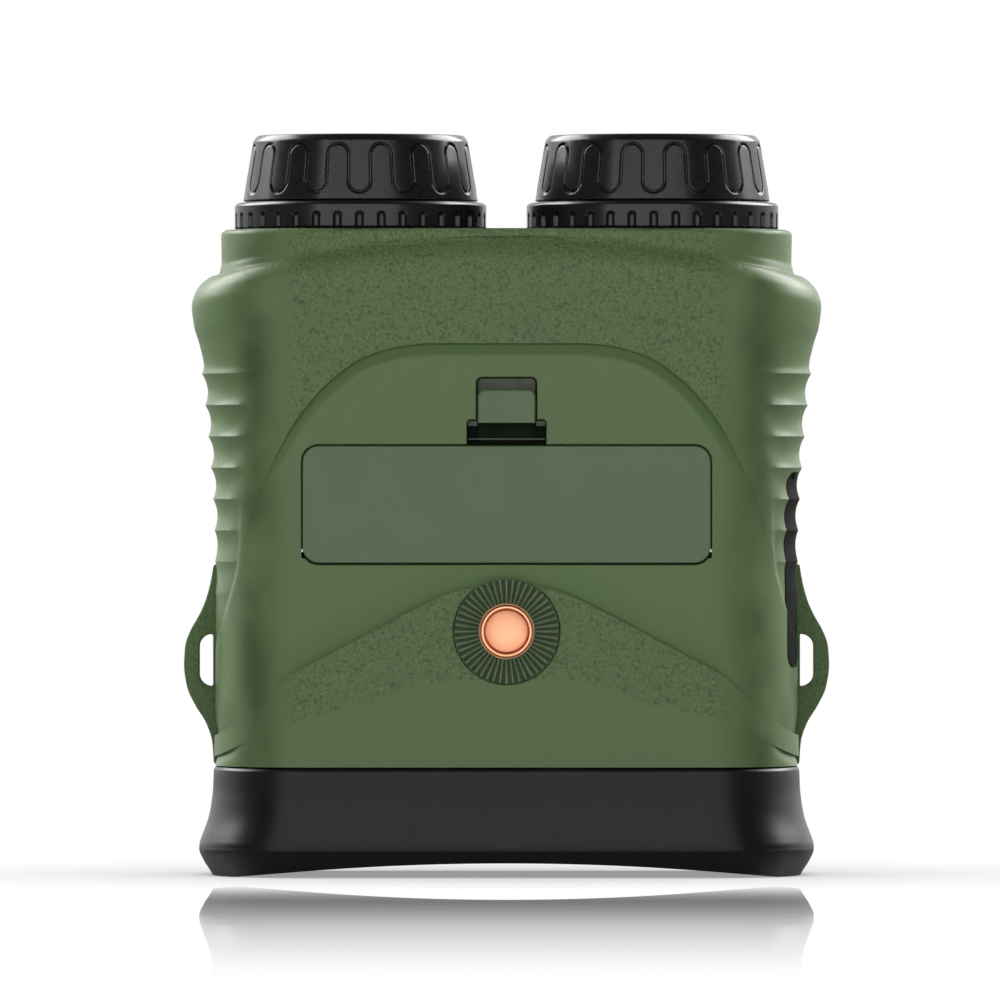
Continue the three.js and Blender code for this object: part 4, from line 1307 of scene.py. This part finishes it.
def floor():
    """A white sheet that is clear in front of the object, where a mirror shows through it, with a painted
    shadow near the object.
    """
    look = Look("floor", (0.97, 0.97, 0.97), 0.5)
    nodes, links = look.nodes, look.links
    split = nodes.new("ShaderNodeSeparateXYZ")
    links.new(look.place, split.inputs[0])
    start, end = MIRROR[0][0], MIRROR[-1][0]
    ramp = nodes.new("ShaderNodeValToRGB")
    ramp.color_ramp.interpolation = "B_SPLINE"
    for i, (at, share) in enumerate(MIRROR):
        place = (at - start) / (end - start)
        stop = ramp.color_ramp.elements[i] if i < 2 else ramp.color_ramp.elements.new(place)
        stop.position = place
        stop.color = (share, share, share, 1)
    links.new(look.ramp(split.outputs["Y"], 0, 1, (start, end)), ramp.inputs[0])
    from_below = nodes.new("ShaderNodeNewGeometry").outputs["Backfacing"]
    clear = look.math("MAXIMUM", ramp.outputs[0], from_below)
    # painted shadow: the floor's glow dims by ambient occlusion near the object
    near = nodes.new("ShaderNodeAmbientOcclusion")
    near.inputs["Distance"].default_value = 0.1
    painted_shadow = look.ramp(near.outputs["AO"], 0.3, 1.0, (0.1, 1.0))
    matte = nodes.new("ShaderNodeEmission")
    seen = nodes.new("ShaderNodeLightPath").outputs["Is Camera Ray"]
    strength = look.math("MULTIPLY", painted_shadow, look.ramp(seen, 0.4, 1.0, (0, 1)))
    links.new(strength, matte.inputs["Strength"])
    mix = nodes.new("ShaderNodeMixShader")
    links.new(clear, mix.inputs[0])
    links.new(matte.outputs[0], mix.inputs[1])
    links.new(nodes.new("ShaderNodeBsdfTransparent").outputs[0], mix.inputs[2])
    links.new(mix.outputs[0], nodes["Material Output"].inputs["Surface"])
    level("floor", 0.0, look)
    level("mirror", GLASS, Look("mirror", (1, 1, 1), 0.0, Metallic=1.0))


def area(name, place, size, power):
    """A soft light turned towards the middle of the object."""
    aim = Vector((0, 0, 0.08))
    data = bpy.data.lights.new(name, "AREA")
    data.shape = "RECTANGLE"
    data.size, data.size_y = size
    data.energy = power
    obj = bpy.data.objects.new(name, data)
    obj.location = place
    obj.rotation_euler = (aim - Vector(place)).to_track_quat("-Z", "Y").to_euler()
    bpy.context.scene.collection.objects.link(obj)


def world():
    """White for the camera and in the mirror, and a soft surround that is bright at the sides and back."""
    shade_world = bpy.data.worlds.new("studio")
    bpy.context.scene.world = shade_world
    shade_world.use_nodes = True
    nodes, links = shade_world.node_tree.nodes, shade_world.node_tree.links
    nodes.clear()
    place = nodes.new("ShaderNodeTexCoord")
    split = nodes.new("ShaderNodeSeparateXYZ")
    links.new(place.outputs["Generated"], split.inputs[0])
    back = nodes.new("ShaderNodeMapRange")
    back.interpolation_type = "SMOOTHSTEP"
    for end, value in (("From Min", 0.12), ("From Max", 0.5), ("To Min", 0.03), ("To Max", 1.1)):
        back.inputs[end].default_value = value
    links.new(split.outputs["Y"], back.inputs["Value"])
    surround, seen = (nodes.new("ShaderNodeBackground") for _ in range(2))
    for light in (surround, seen):
        light.inputs["Color"].default_value = WHITE
    links.new(back.outputs["Result"], surround.inputs["Strength"])
    seen.inputs["Strength"].default_value = 1.0
    path = nodes.new("ShaderNodeLightPath")
    mix = nodes.new("ShaderNodeMixShader")
    direct = nodes.new("ShaderNodeMath")
    direct.operation = "MAXIMUM"
    links.new(path.outputs["Is Camera Ray"], direct.inputs[0])
    links.new(path.outputs["Is Singular Ray"], direct.inputs[1])
    links.new(direct.outputs[0], mix.inputs[0])
    links.new(surround.outputs[0], mix.inputs[1])
    links.new(seen.outputs[0], mix.inputs[2])
    out = nodes.new("ShaderNodeOutputWorld")
    links.new(mix.outputs[0], out.inputs[0])


def camera():
    data = bpy.data.cameras.new("camera")
    data.sensor_width = SENSOR
    data.lens = SENSOR * FAR / PICTURE
    data.clip_end = 100
    obj = bpy.data.objects.new("camera", data)
    obj.location = CENTRE + Vector((0, -FAR, 0))
    obj.rotation_euler = (math.pi / 2, 0, 0)
    bpy.context.scene.collection.objects.link(obj)
    bpy.context.scene.camera = obj


floor()
world()
area("front_light", (0, -1.4, 0.1), (2.0, 1.4), 21.0)
area("edge_light", (-0.9, -1.1, 0.3), (0.05, 1.2), 2.2)
area("left_light", (1.1, 0.75, 0.95), (1.2, 1.0), 40.0)
area("right_light", (-1.1, 0.75, 0.95), (1.2, 1.0), 36.0)
camera()
bpy.context.scene.view_settings.view_transform = "Standard"
